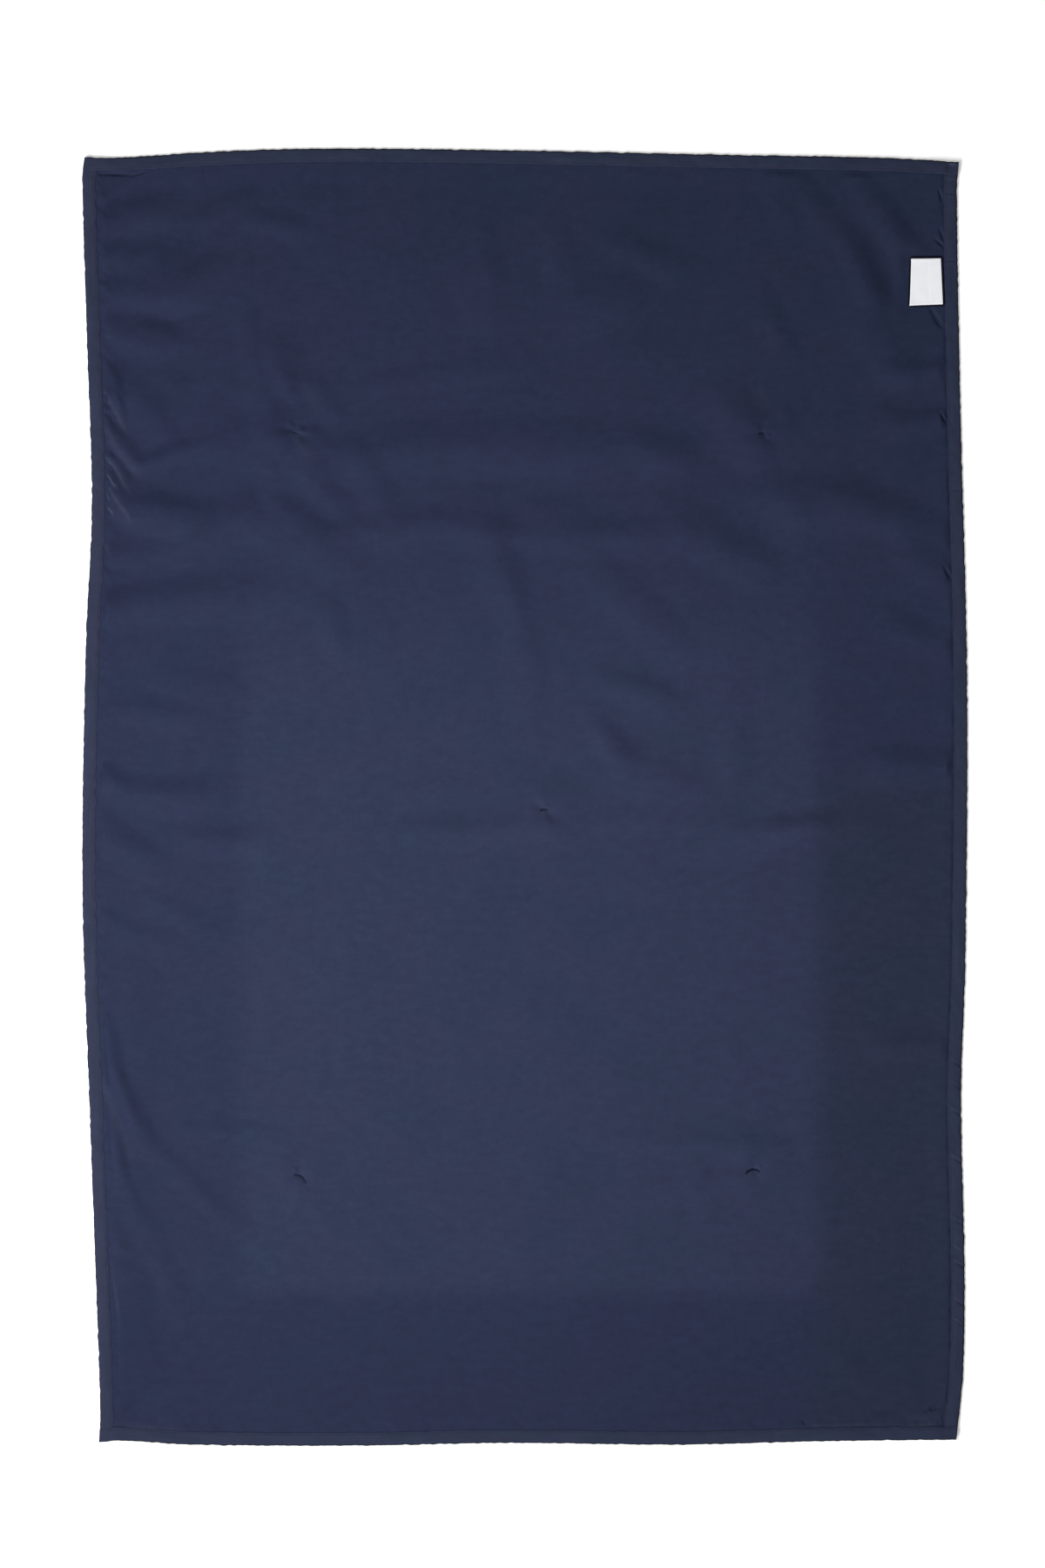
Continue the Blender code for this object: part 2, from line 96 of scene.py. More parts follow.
@dataclass(frozen=True)
class Fold:
    """One fold or crease, in millimetres.

    Height is negative for a crease. Root is the share of the height at the crest's first
    place, and crest holds the places that it runs through.
    """

    name: str
    half_width: float
    height: float
    root: float
    crest: tuple[tuple[float, float], ...]

    def line(self, step: float = 14.0) -> list[Vector]:
        """A smooth curve through the crest's places.

        Args:
            step: about how far apart its points are, in millimetres.

        Returns:
            Its points.
        """
        knots = [Vector(p) for p in self.crest]
        knots = [knots[0] * 2 - knots[1], *knots, knots[-1] * 2 - knots[-2]]
        line = [knots[1]]
        for before, here, after, beyond in zip(knots, knots[1:], knots[2:], knots[3:]):
            count = max(round((after - here).length / step), 1)
            for k in range(1, count + 1):
                t = k / count
                line.append(
                    here
                    + (after - before) * (0.5 * t)
                    + (before * 2 - here * 5 + after * 4 - beyond) * (0.5 * t**2)
                    + (here * 3 - before - after * 3 + beyond) * (0.5 * t**3)
                )
        return line

    def off_crest(self, x: np.ndarray, y: np.ndarray) -> tuple[np.ndarray, np.ndarray]:
        """Find the nearest point of the crest.

        Args:
            x: places across the blanket.
            y: places along it.

        Returns:
            The distance of each place from the crest in millimetres, and the share along it.
        """
        line = self.line(min(14.0, 4.0 * self.half_width))
        lengths = [(b - a).length for a, b in zip(line, line[1:])]
        best, share, gone = np.full(x.shape, np.inf), np.zeros(x.shape), 0.0
        for a, b, length in zip(line, line[1:], lengths):
            run = (b - a) / length**2
            dx, dy = x / MM - a.x, y / MM - a.y
            t = np.clip(dx * run.x + dy * run.y, 0.0, 1.0)
            away = np.hypot(dx - t * (b.x - a.x), dy - t * (b.y - a.y))
            closer = away < best
            best = np.where(closer, away, best)
            share = np.where(closer, (gone + t * length) / sum(lengths), share)
            gone += length
        return best, share

    def near(self, x: np.ndarray, y: np.ndarray) -> np.ndarray:
        """Which places can lie on this fold.

        Args:
            x: places across the blanket.
            y: places along it.

        Returns:
            One truth for each place.
        """
        wide = 2.2 * self.half_width
        xs, ys = zip(*self.crest)
        return (
            (x / MM > min(xs) - wide) & (x / MM < max(xs) + wide)
            & (y / MM > min(ys) - wide) & (y / MM < max(ys) + wide)
        )


@dataclass(frozen=True)
class Rise:
    """One long rise of the cloth that rounds off at both ends: millimetres, turn in degrees."""

    name: str
    x: float
    y: float
    length: float
    turn: float
    half_width: float
    height: float


@dataclass(frozen=True)
class Swell:
    """One low swelling of the cloth, in millimetres."""

    name: str
    x: float
    y: float
    reach_x: float
    reach_y: float
    height: float


@dataclass(frozen=True)
class Tack:
    """The ring of puckers around one tack, in millimetres and turned by degrees."""

    name: str
    x: float
    y: float
    turn: float
    puckers: int


@dataclass(frozen=True)
class Ridge:
    """A small slanted ridge over a tape: its place along it, in millimetres.

    Its crest has a painted highlight and its foot painted shade, brighter and darker than the tape by
    these shares.
    """

    name: str
    along: float
    bright: float
    dark: float


@dataclass(frozen=True)
class Spot:
    """A small spot on a tape, a painted highlight where its share is positive and a painted shadow
    where it is negative, in millimetres along it and in from its edge.
    """

    name: str
    along: float
    inset: float
    reach_along: float
    reach_in: float
    share: float


@dataclass(frozen=True)
class Bar:
    """One tack's short bar of thread, in millimetres.

    It bows by `bow` over its length and leans by `lean` degrees. The cloth is drawn in along
    it by `drawn` and stands up by `lip` around a place beside it.
    """

    name: str
    x: float
    y: float
    length: float
    bow: float
    lean: float
    radius: float
    drawn: float
    lip_x: float
    lip_y: float
    lip_reach: float
    lip: float

    def arc(self, steps: int) -> list[tuple[float, float]]:
        """The line of the bar.

        Args:
            steps: how many steps it is divided into.

        Returns:
            Places along it, in millimetres.
        """
        lean = math.radians(self.lean)
        places = []
        for k in range(steps + 1):
            along = (k / steps - 0.5) * self.length
            up = self.bow * (1.0 - (2.0 * along / self.length) ** 2)
            places.append((
                self.x + along * math.cos(lean) - up * math.sin(lean),
                self.y + along * math.sin(lean) + up * math.cos(lean),
            ))
        return places


# Folds, as the solids have them, but for steep_d, which is lower here
FOLDS = (
    Fold("brow_top", 17, 3.6, 0.8, ((-503, 668), (-453, 684), (-380, 689))),
    Fold("brow_low", 17, 2.7, 1.0, ((-503, 637), (-443, 628), (-360, 624))),
    Fold("shelf", 21, 5.5, 0.6, ((-501, 594), (-453, 591), (-355, 607))),
    Fold("shelf_low", 16, 3.4, 1.0, ((-500, 557), (-454, 540), (-390, 531))),
    Fold("steep_a", 7, 3.2, 0.4, ((-493, 507), (-484, 494), (-474, 452))),
    Fold("steep_b", 6, 3.3, 0.2, ((-492, 481), (-479, 463), (-470, 430))),
    Fold("steep_c", 10, 3.4, 1.0, ((-494, 434), (-479, 421), (-452, 390), (-405, 405), (-325, 420))),
    Fold("steep_d", 5, 2.3, 0.8, ((-491, 404), (-475, 387), (-458, 360))),
    Fold("elbow", 20, 5.5, 0.9, (
        (-490, 368), (-463, 338), (-428, 333), (-387, 326), (-335, 324), (-270, 360),
    )),
    Fold("left_small", 13, 2.4, 1.0, ((-493, 284), (-450, 285), (-388, 292))),
    Fold("left_band", 20, 5.5, 1.0, ((-493, 221), (-407, 231), (-285, 246))),
    Fold("left_mid", 14, 3.6, 0.3, ((-493, 102), (-430, 96), (-345, 92))),
    Fold("left_waist", 16, 5.5, 1.0, ((-490, 22), (-447, 1), (-320, 4))),
    Fold("left_slant", 17, 5.2, 0.6, ((-500, -36), (-458, -68), (-410, -92))),
    Fold("left_inner", 14, 5.0, 0.0, ((-423, -52), (-343, -54), (-263, -46))),
    Fold("left_low_inner", 11, 2.6, 0.0, ((-459, -110), (-400, -143), (-335, -172))),
    Fold("left_low", 12, 2.2, 1.0, ((-503, -137), (-459, -163), (-379, -178))),
    Fold("sweep", 12, 3.6, 1.0, (
        (-497, -265), (-474, -341), (-441, -406), (-375, -474), (-320, -519), (-240, -562),
    )),
    Fold("sweep_inner", 8, 4.2, 0.0, ((-493, -342), (-484, -390), (-475, -441), (-450, -515))),
    Fold("foot_left", 21, 5.5, 0.2, ((-485, -515), (-466, -570), (-464, -620), (-450, -735))),
    Fold("left_faint", 10, 2.9, 0.2, ((-422, -393), (-340, -394), (-252, -401))),
    Fold("centre_west", 13, 2.2, 0.0, ((-162, -35), (-57, -40), (43, -30))),
    Fold("centre_east", 13, 1.7, 0.4, ((30, -34), (161, -29), (294, -40), (380, -33))),
    Fold("spine", 17, 2.9, 0.2, ((-45, 320), (-13, 230), (1, 138), (-5, 20))),
    Fold("span", 17, 3.4, 0.6, ((-74, 309), (-38, 310), (65, 306), (172, 304), (296, 270))),
    Fold("slant", 17, 3.9, 0.4, ((88, 136), (142, 120), (200, 92))),
    Fold("slant_low", 16, 2.3, 0.0, ((58, 110), (97, 64), (145, 17))),
    Fold("brow_mid", 26, 4.5, 0.8, (
        (-260, 396), (-177, 404), (-44, 413), (100, 404), (192, 392), (260, 370),
    )),
    Fold("brow_mid_upper", 12, 1.7, 0.0, ((-220, 480), (-90, 496), (30, 518))),
    Fold("top_slant", 16, 2.3, 0.4, ((98, 654), (148, 633), (208, 610))),
    Fold("corner_inner", 16, 2.0, 0.8, ((300, 743), (328, 710), (359, 670), (403, 630))),
    Fold("corner_outer", 16, 3.5, 0.4, (
        (386, 735), (428, 673), (458, 620), (453, 575), (470, 545), (500, 515),
    )),
    Fold("right_dip", 22, 3.6, 0.4, ((498, 303), (438, 327), (330, 366))),
    Fold("right_top", 13, 2.9, 0.6, ((498, 501), (450, 498), (385, 492))),
    Fold("right_high", 14, 2.9, 1.0, ((498, 446), (455, 438), (389, 440))),
    Fold("right_mid", 17, 2.2, 0.4, ((501, 177), (460, 190), (395, 218))),
    Fold("right_waist", 17, 4.8, 0.6, ((503, 38), (450, 37), (370, 38))),
    Fold("right_low", 12, 3.0, 0.4, ((502, -289), (455, -292), (385, -296))),
    Fold("foot_right", 13, 1.6, 0.0, ((350, -651), (390, -674), (425, -702))),
)

# Small folds and creases of the smooth face alone
FINE_FOLDS = (
    Fold("tack_a", 7, 1.3, 0.2, ((-301, 518), (-292, 495), (-280, 470))),
    Fold("tack_b", 5, 1.0, 0.2, ((-282, 530), (-270, 520), (-258, 510))),
    Fold("tack_c", 4, 0.9, 0.3, ((-283, 460), (-276, 450), (-270, 441))),
    Fold("tack_d", 6, 1.2, 0.3, ((-266, 388), (-258, 375), (-250, 362))),
    Fold("tack_e", 5, 1.0, 0.3, ((-306, 396), (-302, 386), (-298, 374))),
    Fold("high_a", 6, 1.0, 0.1, ((282, 572), (292, 552), (303, 531))),
    Fold("high_b", 5, 0.9, 0.1, ((293, 458), (305, 450), (318, 442))),
    Fold("faint_low", 7, 0.9, 0.0, ((94, -385), (220, -388), (332, -389))),
    Fold("west_high", 9, 1.0, 0.3, ((-470, 568), (-430, 550), (-392, 529), (-370, 515))),
)

# Narrow creases and ridges that reach up to a tape
SEAM_MARKS = (
    Fold("label_crease", 2.6, -1.9, 0.9, ((478, 573), (484, 562), (489, 555), (496, 549))),
    Fold("corner_tick", 1.8, -1.7, 0.6, ((487, 713), (489.5, 705), (491, 697))),
    Fold("corner_tick_low", 1.6, -1.5, 0.6, ((488, 667), (491, 659), (494, 652))),
    Fold("above_label", 1.7, -1.6, 0.5, ((483, 655), (489, 650), (494, 645))),
    Fold("right_tick", 1.8, -1.6, 0.5, ((488, 452), (492, 445), (497, 437))),
    Fold("right_tick_low", 2.0, -1.7, 0.5, ((493, 271), (498, 262), (502, 253))),
    Fold("foot_tick", 2.0, -2.5, 0.5, ((475, -719.5), (481, -718), (488, -715.5))),
    Fold("foot_corner", 1.7, -1.8, 0.5, ((491.5, -726), (492.5, -731), (493, -736))),
    Fold("foot_line", 2.2, -1.5, 0.3, ((405, -724.5), (425, -724), (443, -724))),
    Fold("foot_tick_inner", 1.7, -1.4, 0.4, ((325, -731), (329, -735), (333, -739))),
    Fold("corner_lift", 2.0, -1.7, 0.7, ((-498, 732), (-478, 732), (-456, 731))),
    Fold("corner_lift_end", 1.6, -1.2, 0.7, ((-462, 730), (-452, 733), (-443, 736))),
)

# Painted highlights along creases, and painted shade where the height is negative: the height is the
# share by which they are brighter, and nothing is raised
PAINTED_GLINTS_AND_SHADE = (
    Fold("glint_a", 2.8, 0.40, 0.8, ((-493, 474), (-486, 462), (-478, 446), (-469, 428), (-463, 414))),
    Fold("glint_b", 4.6, 0.26, 0.9, ((-494, 434), (-485, 419), (-476, 403), (-462, 388), (-440, 366))),
    Fold("glint_c", 2.0, 0.60, 0.8, ((-492, 398), (-483, 388), (-477, 379), (-471, 367), (-457, 350))),
    Fold("glint_d", 1.0, 1.50, 0.9, ((-490, 378), (-486, 372), (-483, 367), (-477, 361))),
    Fold("glint_e", 2.3, 0.48, 0.8, ((-488, 362), (-482, 352), (-476, 343), (-469, 334), (-458, 312))),
    Fold("glint_f", 1.0, 1.00, 0.8, ((-490, 340), (-487, 337), (-482, 329))),
    Fold("glint_g", 1.1, 0.60, 0.8, ((-491, 358), (-490, 354), (-487, 346))),
    Fold("glint_h", 1.6, 0.25, 0.8, ((-494, 300), (-490, 290), (-484, 276))),
    Fold("glint_low", 4.2, 0.24, 0.8, ((-497, -330), (-486, -362), (-474, -396), (-455, -436))),
    Fold("glint_corner", 1.3, 0.35, 0.5, ((-485, -548), (-482, -573), (-478, -600), (-474, -632))),
    Fold("glint_foot", 0.9, 0.30, 0.6, ((330, -738.5), (386, -737.5), (452, -736))),
    Fold("glint_foot_end", 6.0, 0.12, 0.8, ((448, -731), (470, -729), (492, -727))),
    Fold("glint_foot_west", 6.0, 0.12, 0.8, ((-488, -737), (-450, -740), (-392, -744))),
    Fold("glint_seam_end", 2.0, 0.30, 0.9, ((452, -738), (470, -737.8), (490, -737.5))),
    Fold("glint_seam_west", 2.0, 0.25, 0.9, ((-488, -741), (-440, -742.5), (-385, -745.5))),
    Fold("glint_tack", 7.0, 0.22, 0.8, ((-268, 426), (-257, 405), (-248, 384))),
    Fold("glint_tack_high", 9.0, 0.10, 0.5, ((-256, 482), (-246, 463), (-238, 446))),
    Fold("glint_tack_east", 9.0, 0.12, 0.5, ((268, 484), (277, 467), (285, 450))),
    Fold("painted_shade_west_high", 11.0, -0.11, 0.6, ((-468, 572), (-428, 548), (-388, 532))),
    Fold("painted_shade_west_below", 10.0, -0.12, 0.6, ((-426, 500), (-405, 492), (-380, 481))),
    Fold("painted_shade_west_low", 10.0, -0.13, 0.6, ((-397, 299), (-375, 311), (-353, 322))),
    Fold("painted_shade_high", 9.0, -0.12, 0.8, ((-325, 634), (-316, 626), (-308, 619))),
    Fold("painted_shade_foot", 1.7, -0.38, 0.6, ((470, -722), (480, -718.5), (488, -714.5))),
    Fold("painted_shade_foot_line", 2.0, -0.16, 0.4, ((404, -724.5), (425, -724), (444, -724))),
)
FOOT = 1.7                # a fold's foot lies this many half widths from its crest

# Broad rises, as the solids have them
RISES = (
    Rise("span_left", -137, 315, 201, 6, 17, 3.6),
    Rise("brow_right", 160, 404, 104, -15, 19, 3.6),
    Rise("corner_middle", 397, 616, 130, -67, 15, 3.1),
    Rise("dip_inner", 343, 342, 203, -11, 24, 3.6),
    Rise("span_right", 223, 300, 230, -33, 22, 2.8),
    Rise("tack_ridge", -301, 435, 173, -77, 15, 3.4),
    Rise("steep_base", -456, 464, 130, -47, 18, 3.4),
    Rise("corner_low", 409, 562, 212, -63, 26, 3.2),
    Rise("tack_east", 252, 437, 151, -63, 25, 3.4),
    Rise("tack_shelf", -309, 416, 172, 6, 26, 3.2),
    Rise("diagonal", 123, 229, 251, -43, 22, 2.5),
    Rise("spine_top", -37, 285, 178, -79, 24, 3.4),
    Rise("elbow_inner", -272, 306, 213, -28, 26, 3.3),
    Rise("elbow_left", -410, 316, 154, -30, 26, 3.2),
    Rise("dip_low", 468, 274, 104, -34, 17, 2.7),
    Rise("waist_east", 300, -43, 273, 9, 16, 3.0),
    Rise("waist_middle", 145, 23, 264, -21, 22, 2.4),
    Rise("shelf_rise", -383, 603, 125, 34, 17, 3.4),
    Rise("sweep_base", -463, -352, 420, -90, 22, 3.4),
    Rise("top_middle", 92, 581, 139, 15, 26, 3.2),
    Rise("top_spine", -50, 593, 115, -85, 24, 3.2),
)

# Small rises of the smooth face alone
FINE_RISES = (
    Rise("top_west", -355, 690, 110, 25, 11, 2.0),
    Rise("top_left", -290, 672, 120, -10, 12, 1.8),
    Rise("top_centre_west", -45, 640, 110, -80, 16, 1.8),
    Rise("top_centre_east", 40, 640, 110, -75, 16, 1.8),
    Rise("top_east", 300, 705, 110, -70, 14, 1.8),
    Rise("high_east", 295, 545, 110, -65, 15, 1.4),
    Rise("high_west", -325, 540, 120, -80, 12, 2.2),
    Rise("tack_north", -285, 500, 110, -70, 12, 2.4),
    Rise("tack_north_east", -235, 465, 90, -55, 14, 2.2),
    Rise("tack_far_east", -180, 370, 130, -60, 16, 3.0),
    Rise("tack_south_east", -235, 360, 90, -50, 14, 2.6),
    Rise("tack_south_west", -300, 370, 90, -70, 13, 2.6),
    Rise("tack_south", -265, 325, 90, -40, 14, 1.6),
    Rise("curl", -245, 300, 120, 35, 14, 2.4),
    Rise("curl_below", -300, 235, 130, 25, 24, 3.0),
    Rise("curl_end", -225, 200, 100, -75, 14, 3.0),
    Rise("span_above", 30, 335, 110, -5, 14, 2.0),
    Rise("west_band", -380, 130, 130, -10, 17, 2.4),
    Rise("slant_steep", 105, 60, 110, -60, 13, 1.8),
    Rise("field_step", 245, 50, 120, -90, 18, 2.2),
    Rise("waist_north", -110, 8, 120, 10, 13, 1.8),
    Rise("waist_west", -110, -40, 100, 0, 11, 1.8),
    Rise("waist_centre", 0, -38, 130, 0, 11, 2.0),
    Rise("waist_east", 320, -36, 110, 5, 11, 2.6),
    Rise("dip_west", 340, 355, 130, 20, 22, 2.4),
    Rise("edge_west", -475, -345, 130, -70, 8, 3.0),
    Rise("low_centre", 20, -262, 150, -5, 14, 1.4),
    Rise("low_east", 200, -406, 280, -2, 12, 3.0),
    Rise("low_tack_west", -255, -475, 120, -50, 13, 1.4),
    Rise("low_tack_east", 205, -465, 110, -80, 14, 1.0),
    Rise("foot_west", -430, -540, 200, -65, 13, 2.2),
)

SWELLS = (
    Swell("shoulder", 320, 322, 42, 36, 2.4),
    Swell("upper_left", -285, 500, 40, 60, 2.2),
    Swell("below_tack", -275, 380, 48, 34, 2.0),
    Swell("middle_left", -190, 180, 120, 70, 1.2),
    Swell("middle_right", 230, 190, 90, 60, 1.2),
)

TACKS = (
    Tack("upper_left", -268, 431, 65, 5),
    Tack("upper_right", 279, 428, 20, 3),
    Tack("middle", 23, -15, 10, 4),
    Tack("lower_left", -266, -443, 140, 3),
    Tack("lower_right", 269, -438, 0, 3),
)

BARS = (
    Bar("upper_left", -270.5, 427.0, 6.5, 0.6, -8, 0.40, 0.3, -264.0, 431.0, 8.5, 1.7),
    Bar("upper_right", 278.0, 427.0, 7.0, 0.8, 3, 0.45, 1.0, 286.0, 424.5, 5.0, 0.9),
    Bar("middle", 23.0, -15.8, 9.5, 1.6, 4, 0.60, 1.3, 27.0, -11.5, 5.0, 0.9),
    Bar("lower_left", -264.2, -449.0, 18.0, 3.6, -36, 0.55, 1.2, -269.5, -437.5, 5.0, 0.9),
    Bar("lower_right", 268.3, -441.8, 17.5, 4.4, 7, 0.85, 1.5, 274.5, -434.0, 6.0, 0.9),
)

# Ridges on the right tape, with painted highlights on their crests and painted shade at their feet
RIGHT_RIDGES = (
    Ridge("upper", -310, 0.12, 0.50),
    Ridge("small", -336, 0.08, 0.32),
    Ridge("second", -367, 0.30, 0.46),
    Ridge("strong", -423, 0.42, 0.44),
    Ridge("middle", -496, 0.18, 0.36),
    Ridge("plain", -529, 0.26, 0.04),
    Ridge("long", -546, 0.30, 0.52),
    Ridge("low", -591, 0.20, 0.52),
    Ridge("last", -615, 0.18, 0.32),
)

# Painted highlights and painted shadows on the top and right tapes
TOP_SPOTS = (
    Spot("end_lip", 502, 3.6, 4.2, 1.1, 1.6),
    Spot("end_notch", 496.5, 8.5, 2.2, 5.0, -0.35),
    Spot("fold_line", 456, 4.0, 6.0, 0.9, 0.3),
)
RIGHT_SPOTS = (
    Spot("start", 725, 9.0, 1.2, 5.0, 0.40),
    Spot("shadow", -330, 2.6, 14.0, 1.6, -0.20),
    Spot("shadow_low", -390, 2.6, 9.0, 1.6, -0.20),
)

# The label's corners in millimetres, counter-clockwise from its lower left
LABEL = ((451.7, 576.9), (492.2, 578.1), (489.6, 633.7), (453.7, 633.0))


class Side(Enum):
    """The four edges of the blanket."""

    LEFT = "left"
    RIGHT = "right"
    TOP = "top"
    BOTTOM = "bottom"

    @property
    def runs_long(self) -> bool:
        """Whether the edge runs along the blanket's length."""
        return self in (Side.LEFT, Side.RIGHT)

    @property
    def sign(self) -> int:
        """Which way is out: 1 towards +X or +Y, and -1 the other way."""
        return 1 if self in (Side.RIGHT, Side.TOP) else -1


@dataclass(frozen=True)
class SeamFace:
    """The smooth face beside one tape.

    Full is the share of the cloth's fullness that shows, along the upper part and the lower.
    In millimetres, shoulder is how far it stands up right beside the tape, dive is how far
    it goes down under the tape, and pucker is the height of the seam's puckers.
    """

    side: Side
    full: float
    full_low: float
    shoulder: float
    dive: float
    pucker: float


SEAM_FACES = (
    SeamFace(Side.LEFT, 0.35, 1.75, 0.30, 0.0, 1.00),
    SeamFace(Side.RIGHT, 0.05, 0.05, 0.0, 0.85, 0.65),
    SeamFace(Side.TOP, 0.0, 0.0, 0.10, 0.0, 0.50),
    SeamFace(Side.BOTTOM, 0.0, 0.0, 0.20, 0.0, 0.65),
)


@dataclass(frozen=True)
class Outline:
    """The blanket's uneven edges: rows of place along and distance out, in millimetres."""

    left: tuple[tuple[float, float], ...] = (
        (-758, -500), (-722, -499), (-599, -503), (-353, -512), (-107, -520), (179, -516),
        (343, -509), (548, -515), (727, -520), (752, -517),
    )
    right: tuple[tuple[float, float], ...] = (
        (-755, 507), (-681, 515), (-558, 517), (-353, 513), (-189, 518), (138, 520),
        (466, 512), (712, 508), (746, 510),
    )
    top: tuple[tuple[float, float], ...] = (
        (-518, 752), (-486, 751), (-351, 759), (-228, 762), (-23, 760), (223, 755),
        (427, 751), (510, 746),
    )
    bottom: tuple[tuple[float, float], ...] = (
        (-500, -758), (-476, -756), (-392, -761), (-187, -762), (-23, -759), (182, -761),
        (346, -757), (507, -755),
    )

    def out(self, side: Side, along: np.ndarray) -> np.ndarray:
        """An edge's distance from the middle, by a smooth curve through its rows.

        Args:
            side: which edge.
            along: places along it.

        Returns:
            The distance at each place, negative for the left and bottom edges.
        """
        place, out = np.array(getattr(self, side.value)).T
        along = np.asarray(along) / MM
        k = np.clip(np.searchsorted(place, along, side="right") - 1, 0, len(place) - 2)
        before, beyond = np.maximum(k - 1, 0), np.minimum(k + 2, len(place) - 1)
        span = place[k + 1] - place[k]
        t = np.clip((along - place[k]) / span, 0.0, 1.0)
        lean_here = (out[k + 1] - out[before]) / (place[k + 1] - place[before]) * span
        lean_after = (out[beyond] - out[k]) / (place[beyond] - place[k]) * span
        return MM * (
            out[k] * (2 * t**3 - 3 * t**2 + 1)
            + lean_here * (t**3 - 2 * t**2 + t)
            + out[k + 1] * (3 * t**2 - 2 * t**3)
            + lean_after * (t**3 - t**2)
        )

    def insets(self, x: np.ndarray, y: np.ndarray) -> tuple[np.ndarray, np.ndarray]:
        """How far in from the edges places lie.

        Args:
            x: places across the blanket.
            y: places along it.

        Returns:
            Distances from the nearer side edge, and from the nearer end edge.
        """
        side = np.minimum(x - self.out(Side.LEFT, y), self.out(Side.RIGHT, y) - x)
        end = np.minimum(y - self.out(Side.BOTTOM, x), self.out(Side.TOP, x) - y)
        return side, end

    def place(self, u: np.ndarray, v: np.ndarray, inset: float) -> tuple[np.ndarray, np.ndarray]:
        """Where shares of the blanket's width and length lie.

        Args:
            u: shares of the way across.
            v: shares of the way along.
            inset: how far in from all four edges the shares begin and end.

        Returns:
            Places across and along.
        """
        x, y = np.zeros(np.shape(u)), np.zeros(np.shape(u))
        for _ in range(4):
            low, high = self.out(Side.BOTTOM, x) + inset, self.out(Side.TOP, x) - inset
            y = low + (high - low) * v
            low, high = self.out(Side.LEFT, y) + inset, self.out(Side.RIGHT, y) - inset
            x = low + (high - low) * u
        return x, y

    def edge_point(
        self, side: Side, share: np.ndarray, inset: np.ndarray, margin: float
    ) -> tuple[np.ndarray, np.ndarray]:
        """Places beside one edge.

        Args:
            side: which edge.
            share: shares of its length.
            inset: how far in from it the places lie.
            margin: what is left off its length at each end.

        Returns:
            Places across and along the blanket.
        """
        first, last = (Side.BOTTOM, Side.TOP) if side.runs_long else (Side.LEFT, Side.RIGHT)
        along, out = np.zeros(np.shape(share)), self.out(side, 0.0)
        for _ in range(4):
            low, high = self.out(first, out) + margin, self.out(last, out) - margin
            along = low + (high - low) * share
            out = self.out(side, along) - side.sign * inset
        return (out, along) if side.runs_long else (along, out)


